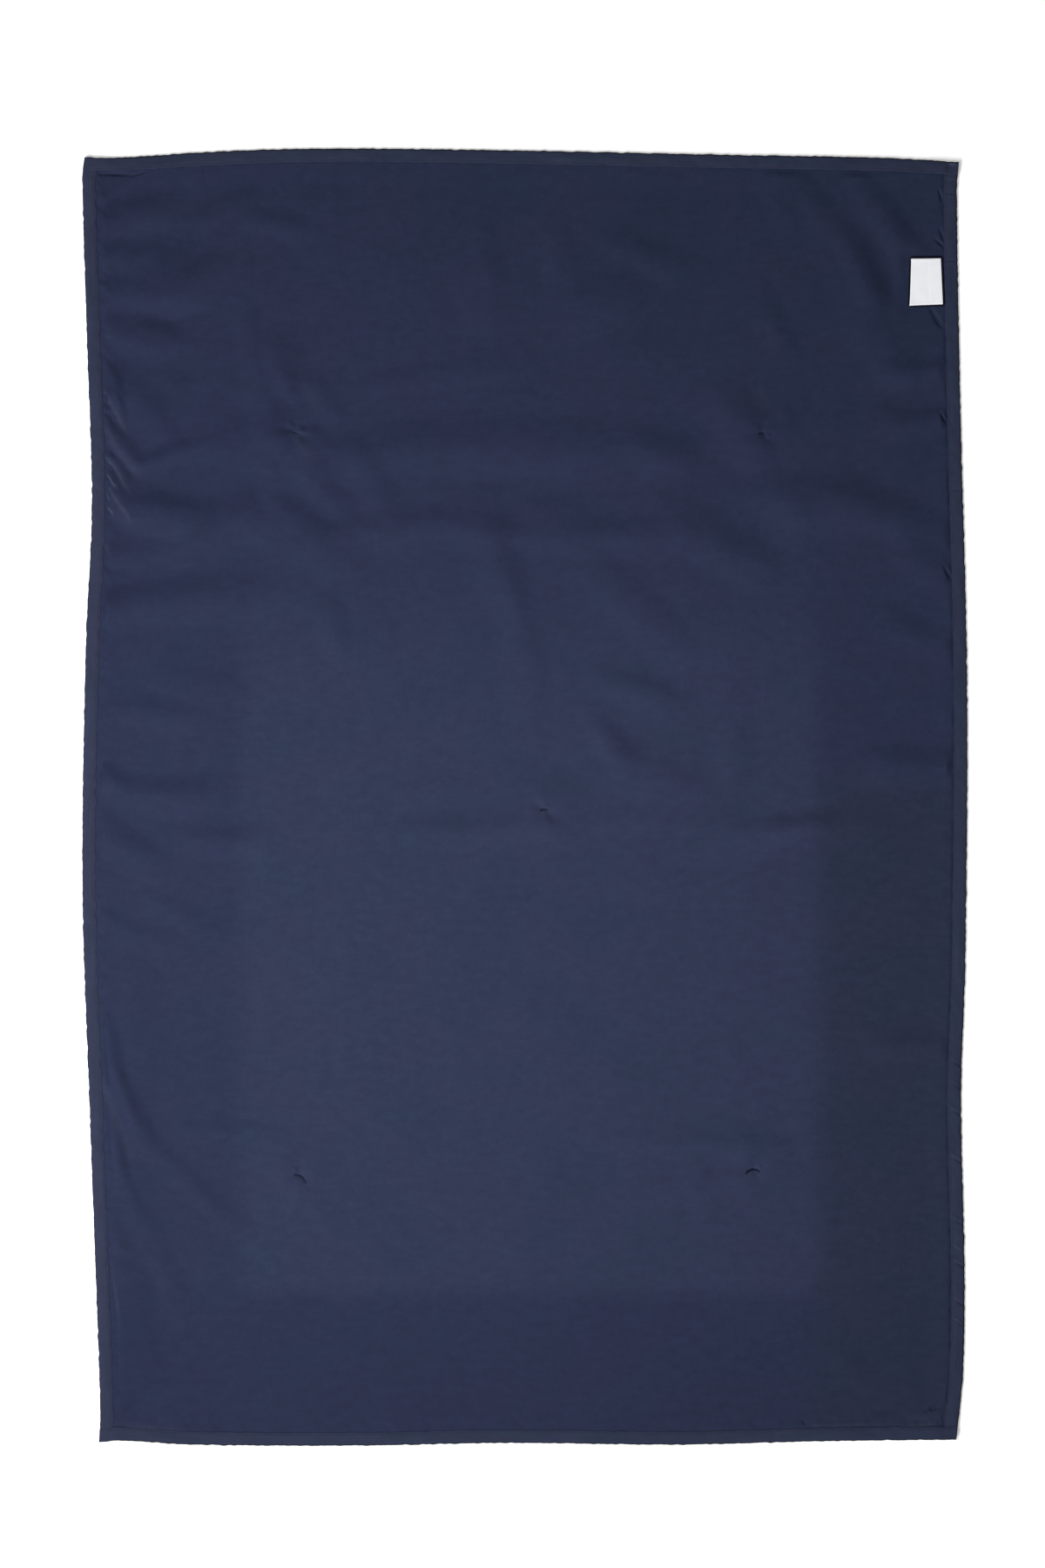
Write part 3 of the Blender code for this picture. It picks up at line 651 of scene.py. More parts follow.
@dataclass(frozen=True)
class Lay:
    """How the cloth lies: its height over the surface, from seams, folds, swells and tacks."""

    outline: Outline = Outline()
    slope: float = 30.0 * MM        # the cloth comes down from a seam over this length
    puff: float = 0.9 * MM          # fullness of the cloth beside a seam
    puff_peak: float = 0.28
    freeing: float = 9.0 * MM       # folds reach full height this far from a seam
    fold_waist: float = 0.8         # a fold is this much of its width where it starts
    fold_opening: float = 0.4       # and opens out by this much
    fold_onset: float = 0.4         # it is at full height after this share of its length
    fold_sinking: float = 0.5       # and sinks over this last share
    tack_reach: float = 56.0 * MM
    tack_swell: float = 1.7 * MM
    tack_peak: float = 0.3
    tack_pucker: float = 0.35
    slit_half_width: float = 2.4 * MM   # the cloth is drawn in along a tack's bar
    shoulder_reach: float = 6.0 * MM
    dive_reach: float = 3.6 * MM
    corner_turn: float = 30.0 * MM  # the seams' shapes blend over this at a corner
    cloud: float = 0.32 * MM        # soft unevenness of the smooth face
    cloud_reach: float = 62 * MM
    small_cloud: float = 0.45       # its finer part, as a share
    small_cloud_reach: float = 24 * MM
    low_start: float = -0.10        # the lower part of a side begins here
    low_blend: float = 0.30         # and has its full effect this much further down
    seam_uneven: float = 1.1        # share by which shoulders and dives stray
    seam_uneven_reach: float = 15 * MM
    ripple_reach: float = 8 * MM    # puckers right beside a tape
    wide_ripple_reach: float = 17 * MM
    pucker_reach: float = 26 * MM
    mark_start: float = 2.2 * MM    # creases at a seam begin over this, from the tape
    label_margin: float = 3.0 * MM  # flat cloth around the label
    label_fade: float = 14.0 * MM   # beyond it the folds come back
    label_clear: float = 2.0 * MM   # creases fade out this close to it

    def held(self, inset: np.ndarray) -> np.ndarray:
        """1 under a tape, falling to 0 where the cloth has come down to the surface."""
        return 1.0 - smooth((inset - SEAM) / self.slope)

    def off_label(self, x: np.ndarray, y: np.ndarray) -> np.ndarray:
        """How far places are from the label.

        Args:
            x: places across the blanket.
            y: places along it.

        Returns:
            Distances from the label's box, 0 inside it.
        """
        (low_x, low_y), (high_x, high_y) = np.min(LABEL, 0) * MM, np.max(LABEL, 0) * MM
        dx = np.maximum(np.maximum(low_x - x, x - high_x), 0.0)
        dy = np.maximum(np.maximum(low_y - y, y - high_y), 0.0)
        return np.hypot(dx, dy)

    def by_label(self, x: np.ndarray, y: np.ndarray) -> np.ndarray:
        """1 where the label presses the cloth flat, falling to 0 around it."""
        return 1.0 - smooth((self.off_label(x, y) - self.label_margin) / self.label_fade)

    def fold(self, x: np.ndarray, y: np.ndarray, fold: Fold) -> np.ndarray:
        """One fold: a rounded ridge that opens out and sinks to its far end.

        Args:
            x: places across the blanket.
            y: places along it.
            fold: the fold.

        Returns:
            Its height at each place.
        """
        height = np.zeros(x.shape)
        near = fold.near(x, y)
        if near.any():
            away, share = fold.off_crest(x[near], y[near])
            reach = FOOT * fold.half_width * (self.fold_waist + self.fold_opening * share)
            across = (1.0 - np.clip(away / reach, 0.0, 1.0) ** 2) ** 2
            rise = fold.root + (1.0 - fold.root) * smooth(share / self.fold_onset)
            sinking = smooth((1.0 - share) / self.fold_sinking)
            height[near] = fold.height * MM * across * rise * sinking
        return height

    def rise(self, x: np.ndarray, y: np.ndarray, rise: Rise) -> np.ndarray:
        """One long rise.

        Args:
            x: places across the blanket.
            y: places along it.
            rise: the rise.

        Returns:
            Its height at each place.
        """
        dx, dy, turn = x / MM - rise.x, y / MM - rise.y, math.radians(rise.turn)
        along = (dx * math.cos(turn) + dy * math.sin(turn)) / (0.5 * rise.length)
        across = (dy * math.cos(turn) - dx * math.sin(turn)) / (FOOT * rise.half_width)
        return rise.height * MM * np.maximum(1.0 - across**2 - np.abs(along) ** 3, 0.0) ** 2

    def swell(self, x: np.ndarray, y: np.ndarray, swell: Swell) -> np.ndarray:
        """Height of one low swelling."""
        away = np.hypot((x / MM - swell.x) / swell.reach_x, (y / MM - swell.y) / swell.reach_y)
        return swell.height * MM * (1.0 - smooth(away))

    def tack(self, x: np.ndarray, y: np.ndarray, tack: Tack) -> np.ndarray:
        """The puckered ring around one tack.

        Args:
            x: places across the blanket.
            y: places along it.
            tack: the tack.

        Returns:
            Its height at each place.
        """
        dx, dy = x - tack.x * MM, y - tack.y * MM
        ring = hump(np.hypot(dx, dy), self.tack_reach, self.tack_peak)
        turned = np.arctan2(dy, dx) - math.radians(tack.turn)
        return self.tack_swell * ring * (1.0 + self.tack_pucker * np.cos(tack.puckers * turned))

    def underside(self, x: np.ndarray, y: np.ndarray) -> np.ndarray:
        """The cloth's underside, as in the solids.

        Args:
            x: places across the blanket.
            y: places along it.

        Returns:
            Its height over the surface.
        """
        side, end = self.outline.insets(x, y)
        inset = np.minimum(side, end) - SEAM
        raised = sum(self.fold(x, y, f) for f in FOLDS) + sum(self.rise(x, y, r) for r in RISES)
        raised = raised + sum(self.swell(x, y, s) for s in SWELLS)
        raised = raised + sum(self.tack(x, y, t) for t in TACKS)
        free = LIFT * (self.held(side) + self.held(end))
        free = free + self.puff * hump(inset, self.slope, self.puff_peak)
        free = free + raised * smooth(inset / self.freeing)
        pressed = self.by_label(x, y)
        return free + (LIFT - free) * pressed

    def drawn_in(self, x: np.ndarray, y: np.ndarray, bar: Bar) -> np.ndarray:
        """The drawn-in line along one tack's bar and the lip beside it.

        Args:
            x: places across the blanket.
            y: places along it.
            bar: the bar.

        Returns:
            Their height at each place.
        """
        away = np.hypot(x / MM - bar.lip_x, y / MM - bar.lip_y)
        height = bar.lip * MM * (1.0 - smooth(away / bar.lip_reach))
        near = np.hypot(x / MM - bar.x, y / MM - bar.y) < bar.length
        if near.any():
            half_width = self.slit_half_width / MM
            line = Fold(bar.name, half_width, 0.0, 0.0, tuple(bar.arc(4)))
            away, share = line.off_crest(x[near], y[near])
            across = (1.0 - np.clip(away / half_width, 0.0, 1.0) ** 2) ** 2
            ends = np.sqrt(np.sin(math.pi * share))
            height[near] = height[near] * (1.0 - across) - bar.drawn * MM * across * ends
        return height

    def beside_seams(self, x: np.ndarray, y: np.ndarray) -> np.ndarray:
        """What the smooth face has right beside the tapes: fullness, shoulders and puckers.

        Args:
            x: places across the blanket.
            y: places along it.

        Returns:
            Its height at each place.
        """
        side, end = self.outline.insets(x, y)
        inset = np.minimum(side, end)
        by_side = smooth(0.5 + (end - side) / self.corner_turn)
        along = y * by_side + x * (1.0 - by_side)
        full, shoulder, dive, pucker = np.zeros((4, *x.shape))
        for seam in SEAM_FACES:
            here = by_side if seam.side.runs_long else 1.0 - by_side
            here = here * ((x if seam.side.runs_long else y) * seam.side.sign > 0)
            low = smooth((self.low_start - y) / self.low_blend)
            full = full + here * (seam.full + (seam.full_low - seam.full) * low)
            shoulder = shoulder + here * seam.shoulder * MM
            dive = dive + here * seam.dive * MM
            pucker = pucker + here * seam.pucker * MM
        height = -self.puff * (1.0 - full) * hump(inset - SEAM, self.slope, self.puff_peak)
        stray = grain(along, 0.4 * inset, self.seam_uneven_reach, 21.0)
        uneven = 1.0 + self.seam_uneven * stray
        height = height + shoulder * uneven * hump(inset - STRIP, self.shoulder_reach, 0.35)
        height = height - dive * uneven * (1.0 - smooth((inset - STRIP) / self.dive_reach))
        slanted = along + 0.6 * inset
        ripple = grain(slanted, inset * 0.5, self.ripple_reach, 14.0)
        ripple = ripple + 0.7 * grain(slanted, inset * 0.5, self.wide_ripple_reach, 15.0)
        fade = hump(inset - STRIP, self.pucker_reach, 0.14)
        return height + pucker * ripple * fade

    def face(self, x: np.ndarray, y: np.ndarray) -> np.ndarray:
        """The smooth face's own fine folds, marks and unevenness.

        Args:
            x: places across the blanket.
            y: places along it.

        Returns:
            What they add to the underside's height.
        """
        side, end = self.outline.insets(x, y)
        inset = np.minimum(side, end)
        fine = sum(self.fold(x, y, f) for f in FINE_FOLDS)
        fine = fine + sum(self.rise(x, y, r) for r in FINE_RISES)
        fine = fine + self.cloud * grain(x, y * 1.6, self.cloud_reach, 3.0)
        small = grain(x * 0.8, y * 1.4, self.small_cloud_reach, 8.0)
        fine = fine + self.small_cloud * self.cloud * small
        fine = fine * smooth((inset - SEAM) / self.freeing)
        fine = fine + sum(self.drawn_in(x, y, bar) for bar in BARS) + self.beside_seams(x, y)
        marks = sum(self.fold(x, y, fold) for fold in SEAM_MARKS)
        marks = marks * smooth((inset - STRIP) / self.mark_start)
        marks = marks * smooth(self.off_label(x, y) / self.label_clear)
        return fine * (1.0 - self.by_label(x, y)) + marks

    def painted_light_and_shade(self, x: np.ndarray, y: np.ndarray) -> np.ndarray:
        """How much brighter the smooth face is painted along creases, as a share: painted highlights,
        and painted shade where it is negative.
        """
        return sum(self.fold(x, y, fold) for fold in PAINTED_GLINTS_AND_SHADE) / MM


def deselect_all() -> None:
    """Leave edit mode and clear the selection."""
    if bpy.context.object is not None and bpy.context.object.mode != "OBJECT":
        bpy.ops.object.mode_set(mode="OBJECT")
    bpy.ops.object.select_all(action="DESELECT")


def link_mesh(name: str, mesh: bpy.types.Mesh, finish: bpy.types.Material) -> bpy.types.Object:
    """Link a smooth-shaded object with one finish.

    Args:
        name: the piece's name.
        mesh: its finished mesh, in place.
        finish: its material.

    Returns:
        The new object, at the origin.
    """
    mesh.materials.append(finish)
    mesh.shade_smooth()
    piece = bpy.data.objects.new(name, mesh)
    bpy.context.scene.collection.objects.link(piece)
    return piece


def from_arrays(name: str, points: np.ndarray, faces: np.ndarray) -> bpy.types.Mesh:
    """Make a mesh of four-cornered faces.

    Args:
        name: the mesh's name.
        points: its points, a row for each.
        faces: the numbers of each face's four points, a row for each.

    Returns:
        The new mesh.
    """
    mesh = bpy.data.meshes.new(name)
    mesh.vertices.add(len(points))
    mesh.vertices.foreach_set("co", np.ravel(points).astype(np.float32))
    mesh.loops.add(faces.size)
    mesh.loops.foreach_set("vertex_index", np.ravel(faces).astype(np.int32))
    mesh.polygons.add(len(faces))
    mesh.polygons.foreach_set("loop_start", np.arange(0, faces.size, 4, dtype=np.int32))
    mesh.update(calc_edges=True)
    return mesh


class Recipe:
    """A material in the making, with short calls that add nodes and join them."""

    def __init__(self, name: str, roughness: float, specular: float) -> None:
        """Start from a plain surface with its constant settings.

        Args:
            name: the material's name.
            roughness: how dull it is.
            specular: how much it mirrors.
        """
        self.material = bpy.data.materials.new(name)
        self.material.use_nodes = True
        self.tree = self.material.node_tree
        self.surface = self.tree.nodes["Principled BSDF"]
        self.surface.inputs["Roughness"].default_value = roughness
        self.surface.inputs["Specular IOR Level"].default_value = specular

    def sheen(self, weight: float, roughness: float, tint: Colour) -> None:
        """Give the surface a cloth's sheen.

        Args:
            weight: how strong the sheen is.
            roughness: how far it spreads.
            tint: its colour.
        """
        self.surface.inputs["Sheen Weight"].default_value = weight
        self.surface.inputs["Sheen Roughness"].default_value = roughness
        self.surface.inputs["Sheen Tint"].default_value = (*tint, 1.0)

    def join(self, source: Socket, node: bpy.types.Node, key: str | int) -> None:
        """Lead one socket to an input of a node."""
        self.tree.links.new(source, node.inputs[key])

    def place(self, scale: tuple[float, float, float] = (1, 1, 1), uv: bool = False) -> Socket:
        """The place on the piece.

        Args:
            scale: what its three coordinates are multiplied by.
            uv: whether it is read from the piece's own UV map.

        Returns:
            The place, in metres times the scale.
        """
        source = self.tree.nodes.new("ShaderNodeTexCoord")
        mapping = self.tree.nodes.new("ShaderNodeMapping")
        mapping.inputs["Scale"].default_value = scale
        self.join(source.outputs["UV" if uv else "Object"], mapping, "Vector")
        return mapping.outputs["Vector"]

    def noise(self, place: Socket, scale: float, detail: float = 2.0) -> Socket:
        """Cloudy values.

        Args:
            place: where they are read.
            scale: how fine the clouds are.
            detail: how many finer layers they have.

        Returns:
            Values around 0.5.
        """
        node = self.tree.nodes.new("ShaderNodeTexNoise")
        node.inputs["Scale"].default_value = scale
        node.inputs["Detail"].default_value = detail
        self.join(place, node, "Vector")
        return node.outputs["Fac"]

    def attribute(self, name: str) -> Socket:
        """Values kept on the piece's own vertices.

        Args:
            name: the attribute's name.

        Returns:
            The values.
        """
        node = self.tree.nodes.new("ShaderNodeAttribute")
        node.attribute_name = name
        return node.outputs["Fac"]

    def axis(self, place: Socket, which: str) -> Socket:
        """One coordinate of a place.

        Args:
            place: the place.
            which: X, Y or Z.

        Returns:
            The coordinate.
        """
        node = self.tree.nodes.new("ShaderNodeSeparateXYZ")
        self.join(place, node, "Vector")
        return node.outputs[which]

    def math(self, operation: str, *values: Socket | float) -> Socket:
        """A sum, product or other operation.

        Args:
            operation: its name in the math node.
            *values: sockets or numbers, in the node's order.

        Returns:
            The result.
        """
        node = self.tree.nodes.new("ShaderNodeMath")
        node.operation = operation
        for k, value in enumerate(values):
            if isinstance(value, (int, float)):
                node.inputs[k].default_value = value
            else:
                self.join(value, node, k)
        return node.outputs["Value"]

    def step(
        self, value: Socket, start: float, end: float, low: float = 0.0, high: float = 1.0
    ) -> Socket:
        """Ease from one number to another.

        Args:
            value: what is followed.
            start: where in its range the easing starts.
            end: where it ends.
            low: the number before the start.
            high: the number past the end.

        Returns:
            The eased number.
        """
        node = self.tree.nodes.new("ShaderNodeMapRange")
        node.interpolation_type = "SMOOTHSTEP"
        settings = {"From Min": start, "From Max": end, "To Min": low, "To Max": high}
        for key, number in settings.items():
            node.inputs[key].default_value = number
        self.join(value, node, "Value")
        return node.outputs["Result"]

    def around_one(self, value: Socket, amount: float) -> Socket:
        """Turn a cloudy value into a factor near 1 that strays by `amount`."""
        return self.math("MULTIPLY_ADD", value, 2.0 * amount, 1.0 - amount)

    def product(self, *values: Socket | float) -> Socket:
        """Multiply several values.

        Args:
            *values: sockets or numbers.

        Returns:
            Their product.
        """
        result = values[0]
        for value in values[1:]:
            result = self.math("MULTIPLY", result, value)
        return result

    def blend(self, first: Colour, second: Colour, share: Socket) -> Socket:
        """A colour between two.

        Args:
            first: the colour where the share is 0.
            second: the colour where it is 1.
            share: how far it has gone to the second.

        Returns:
            The colour.
        """
        node = self.tree.nodes.new("ShaderNodeMix")
        node.data_type = "VECTOR"
        ends = [end for end in node.inputs if end.type == "VECTOR" and end.name in ("A", "B")]
        ends[0].default_value, ends[1].default_value = first, second
        self.join(share, node, 0)
        return next(socket for socket in node.outputs if socket.type == "VECTOR")

    def tinted(self, colour: Socket, tint: Colour, share: Socket) -> Socket:
        """A colour times a tint.

        Args:
            colour: the colour.
            tint: what it is multiplied by where the share is 1.
            share: how far the tint goes.

        Returns:
            The tinted colour.
        """
        node = self.tree.nodes.new("ShaderNodeVectorMath")
        node.operation = "MULTIPLY"
        self.join(colour, node, 0)
        self.join(self.blend((1.0, 1.0, 1.0), tint, share), node, 1)
        return node.outputs["Vector"]

    def colour(self, colour: Socket | Colour, tone: Socket) -> None:
        """Paint the surface.

        Args:
            colour: the colour, given as numbers or a socket.
            tone: how light it is, as a factor.
        """
        node = self.tree.nodes.new("ShaderNodeVectorMath")
        node.operation = "SCALE"
        if isinstance(colour, tuple):
            node.inputs[0].default_value = colour
        else:
            self.join(colour, node, 0)
        self.join(tone, node, "Scale")
        self.join(node.outputs["Vector"], self.surface, "Base Color")

    def weave(self, place: Socket, pitch: float, twill: float = 0.0) -> Socket:
        """Threads over and under each other.

        Args:
            place: where on the cloth.
            pitch: how far apart the threads are.
            twill: how far the pattern slants.

        Returns:
            Their heights, from 0 to 1.
        """
        turns = math.tau / (2.0 * pitch)
        x, y = self.axis(place, "X"), self.axis(place, "Y")
        slanted = self.math("MULTIPLY_ADD", y, twill, x)
        across = self.math("SINE", self.math("MULTIPLY", slanted, turns))
        along = self.math("SINE", self.math("MULTIPLY", y, turns))
        return self.math("MULTIPLY_ADD", self.math("MULTIPLY", across, along), 0.5, 0.5)

    def bump(self, height: Socket, strength: float, distance: float) -> None:
        """Raise the surface.

        Args:
            height: heights from 0 to 1.
            strength: how far the raising shows.
            distance: how high 1 is, in metres.
        """
        node = self.tree.nodes.new("ShaderNodeBump")
        node.inputs["Strength"].default_value = strength
        node.inputs["Distance"].default_value = distance
        self.join(height, node, "Height")
        self.join(node.outputs["Normal"], self.surface, "Normal")


@dataclass(frozen=True)
class PanelCloth:
    """Smooth, tight navy cloth with fine threads and a faint sheen."""

    colour: Colour = (0.0166, 0.0227, 0.0506)
    middle: Colour = (0.0167, 0.0229, 0.0478)
    warmer: Colour = (1.09, 0.98, 1.01)     # hue strays this way in places
    cooler: Colour = (0.91, 0.96, 0.94)     # and this way to the upper right
    greyer: Colour = (1.0, 1.0, 0.92)       # and this way to the lower right
    highlight_tint: Colour = (1.2, 1.04, 0.56)    # painted highlights are tinted paler
    most_highlight_tint: float = 0.45             # a crease has at most this share of that tint
    thread: float = 0.45 * MM
    roughness: float = 0.70
    field_tone: float = 1.21        # the middle is a little lighter; its fading upwards is painted light
    field_west: float = -0.335
    field_east: float = 0.347
    field_south: float = -0.584

    def field(self, recipe: Recipe) -> Socket:
        """The lighter middle: soft at its sides and below, and fading out upwards, where the fading is
        painted light that falls off towards the top.

        Args:
            recipe: the material in the making.

        Returns:
            1 in the middle, falling to 0 around it.
        """
        place = recipe.place()
        x, y = recipe.axis(place, "X"), recipe.axis(place, "Y")
        west = recipe.step(x, self.field_west - 0.02, self.field_west + 0.03, 0.3, 1.0)
        east = recipe.step(x, self.field_east + 0.030, self.field_east - 0.030)
        south = recipe.step(y, self.field_south - 0.020, self.field_south + 0.022)
        north = recipe.step(y, 0.42, 0.02)
        return recipe.product(west, east, south, north)

    def material(self) -> bpy.types.Material:
        """Make the cloth's material.

        Returns:
            The material.
        """
        recipe = Recipe("panel_cloth", self.roughness, 0.04)
        recipe.sheen(0.02, 0.5, (0.70, 0.80, 1.0))
        place = recipe.place()
        weft = recipe.noise(recipe.place((28, 1500, 1)), 1.0, 1.0)
        warp = recipe.noise(recipe.place((1500, 28, 1)), 1.0, 1.0)
        mottle = recipe.noise(place, 210.0, 3.0)
        nap = recipe.noise(recipe.place((1.0, 1.7, 1.0)), 62.0, 2.0)
        tone = recipe.product(
            recipe.around_one(weft, 0.07),
            recipe.around_one(warp, 0.05),
            recipe.around_one(mottle, 0.13),
            recipe.around_one(nap, 0.14),
            recipe.around_one(recipe.noise(place, 11.0), 0.05),
            # The lighter middle, whose fading upwards is painted light
            recipe.step(self.field(recipe), 0.0, 1.0, 1.0, self.field_tone),
            recipe.step(recipe.axis(place, "Y"), -0.56, -0.68, 1.0, 0.97),
            # The painted highlights and shade along creases scale the tone
            recipe.math("ADD", recipe.attribute("painted_light_and_shade"), 1.0),
        )
        drift = recipe.step(recipe.noise(recipe.place((1.0, 1.3, 1.0)), 9.0, 3.0), 0.35, 0.65)
        x, y = recipe.axis(place, "X"), recipe.axis(place, "Y")
        slanted = recipe.math("MULTIPLY_ADD", x, 0.5, y)
        low_east = recipe.product(recipe.step(x, 0.32, 0.37), recipe.step(y, 0.06, -0.02))
        colour = recipe.blend(self.colour, self.middle, self.field(recipe))
        colour = recipe.tinted(colour, self.warmer, drift)
        # Painted highlights are tinted paler as well
        painted_share = recipe.math("MINIMUM", recipe.attribute("painted_light_and_shade"), self.most_highlight_tint)
        colour = recipe.tinted(colour, self.highlight_tint, painted_share)
        colour = recipe.tinted(colour, self.cooler, recipe.step(slanted, 0.42, 0.75))
        colour = recipe.tinted(colour, self.greyer, low_east)
        recipe.colour(colour, tone)
        recipe.join(
            recipe.math("MULTIPLY_ADD", mottle, 0.12, self.roughness - 0.06),
            recipe.surface, "Roughness",
        )
        threads = recipe.weave(place, self.thread)
        uneven = recipe.math("MULTIPLY_ADD", weft, 0.5, threads)
        recipe.bump(uneven, 0.35, 0.12 * MM)
        return recipe.material


@dataclass(frozen=True)
class TapeCloth:
    """Navy binding tape, a little greyer than the panel, with a fine slanted rib."""

    colour: Colour = (0.0227, 0.0271, 0.0543)
    west: Colour = (0.0266, 0.0298, 0.0592)     # painted light: the left tape, towards the low light, is painted paler
    drifting: Colour = (0.90, 1.03, 1.0)        # hue strays this way in places
    thread: float = 0.5 * MM
    roughness: float = 0.70

    def material(self) -> bpy.types.Material:
        """Make the tape's material. U runs along the tape and V across it, in metres.

        Returns:
            The material.
        """
        recipe = Recipe("binding_tape", self.roughness, 0.05)
        recipe.sheen(0.03, 0.5, (0.85, 0.87, 1.0))
        place = recipe.place(uv=True)
        across = recipe.axis(place, "Y")
        lines = recipe.noise(recipe.place((18, 1300, 1), uv=True), 1.0, 1.0)
        patches = recipe.noise(recipe.place((22, 60, 1), uv=True), 1.0, 2.0)
        mottle = recipe.noise(place, 240.0, 2.0)
        # Painted shade along the tape's rounded fold, over a wider band on all tapes but the left one
        east = recipe.step(recipe.axis(recipe.place(), "X"), -0.50, -0.47)
        off_fold = recipe.math("MULTIPLY_ADD", east, -0.9 * MM, recipe.math("ABSOLUTE", across))
        folded = recipe.step(off_fold, 2.4 * MM, 4.2 * MM, 0.05, 1.0)
        tone = recipe.product(
            recipe.around_one(lines, 0.16),
            recipe.around_one(patches, 0.19),
            recipe.around_one(mottle, 0.12),
            folded,
            # Painted highlights and shade on ridges and spots scale the tone
            recipe.math("ADD", recipe.attribute("painted_light_and_shade"), 1.0),
        )
        drift = recipe.step(recipe.noise(recipe.place((14, 40, 1), uv=True), 1.0, 2.0), 0.35, 0.65)
        colour = recipe.tinted(recipe.blend(self.west, self.colour, east), self.drifting, drift)
        recipe.colour(colour, tone)
        recipe.bump(recipe.weave(place, self.thread, 1.0), 0.5, 0.18 * MM)
        return recipe.material


@dataclass(frozen=True)
class LabelRibbon:
    """White satin ribbon with a fine rib, left bare."""

    colour: Colour = (0.80, 0.82, 0.85)
    thread: float = 0.3 * MM

    def material(self) -> bpy.types.Material:
        """Make the ribbon's material.

        Returns:
            The material.
        """
        recipe = Recipe("label_ribbon", 0.42, 0.5)
        recipe.sheen(0.08, 0.4, (1.0, 1.0, 1.0))
        place = recipe.place()
        rib = recipe.noise(recipe.place((60, 2600, 1)), 1.0, 1.0)
        tone = recipe.product(
            recipe.around_one(rib, 0.035),
            recipe.around_one(recipe.noise(place, 90.0), 0.03),
        )
        recipe.colour(self.colour, tone)
        recipe.bump(recipe.weave(place, self.thread), 0.4, 0.08 * MM)
        return recipe.material


@dataclass(frozen=True)
class SewingThread:
    """Twisted sewing thread in one colour."""

    name: str
    colour: Colour
    specular: float = 0.15
    ply: float = 0.35 * MM

    def material(self) -> bpy.types.Material:
        """Make the thread's material: its plies show as slanted ridges.

        Returns:
            The material.
        """
        recipe = Recipe(self.name, 0.65, self.specular)
        recipe.sheen(0.04, 0.4, (0.9, 0.92, 1.0))
        place = recipe.place()
        along = recipe.math("ADD", recipe.axis(place, "X"), recipe.axis(place, "Y"))
        plies = recipe.math("SINE", recipe.math("MULTIPLY", along, math.tau / self.ply))
        recipe.colour(self.colour, recipe.math("MULTIPLY_ADD", plies, 0.15, 0.9))
        recipe.bump(recipe.math("MULTIPLY_ADD", plies, 0.5, 0.5), 0.5, 0.08 * MM)
        return recipe.material


@dataclass(frozen=True)
class PaleFloor:
    """A plain, near-white studio floor that glows a little, as a lit table does."""

    colour: Colour = (0.88, 0.88, 0.88)
    glow: float = 0.38

    def material(self) -> bpy.types.Material:
        """Make the floor's material.

        Returns:
            The material.
        """
        recipe = Recipe("pale_floor", 0.9, 0.1)
        even = recipe.noise(recipe.place(), 3.0)
        recipe.colour(self.colour, recipe.around_one(even, 0.01))
        recipe.surface.inputs["Emission Color"].default_value = (1.0, 1.0, 1.0, 1.0)
        recipe.surface.inputs["Emission Strength"].default_value = self.glow
        return recipe.material


@dataclass(frozen=True)
class Area:
    """A part of the face with finer cells: its middle and reach in millimetres, and the cuts."""

    x: float
    y: float
    reach_x: float
    reach_y: float
    cuts: int


FINE_AREAS = (
    Area(-480, 365, 19, 42, 1),
    Area(-480, 452, 17, 30, 1),
    Area(487, 562, 13, 16, 1),
    Area(489, 705, 8, 12, 1),
    Area(490, 655, 8, 14, 1),
    Area(492, 445, 8, 12, 1),
    Area(498, 262, 8, 13, 1),
    Area(484, -717, 10, 7, 1),
    Area(329, -735, 8, 7, 1),
    Area(-471, 732, 32, 7, 1),
)


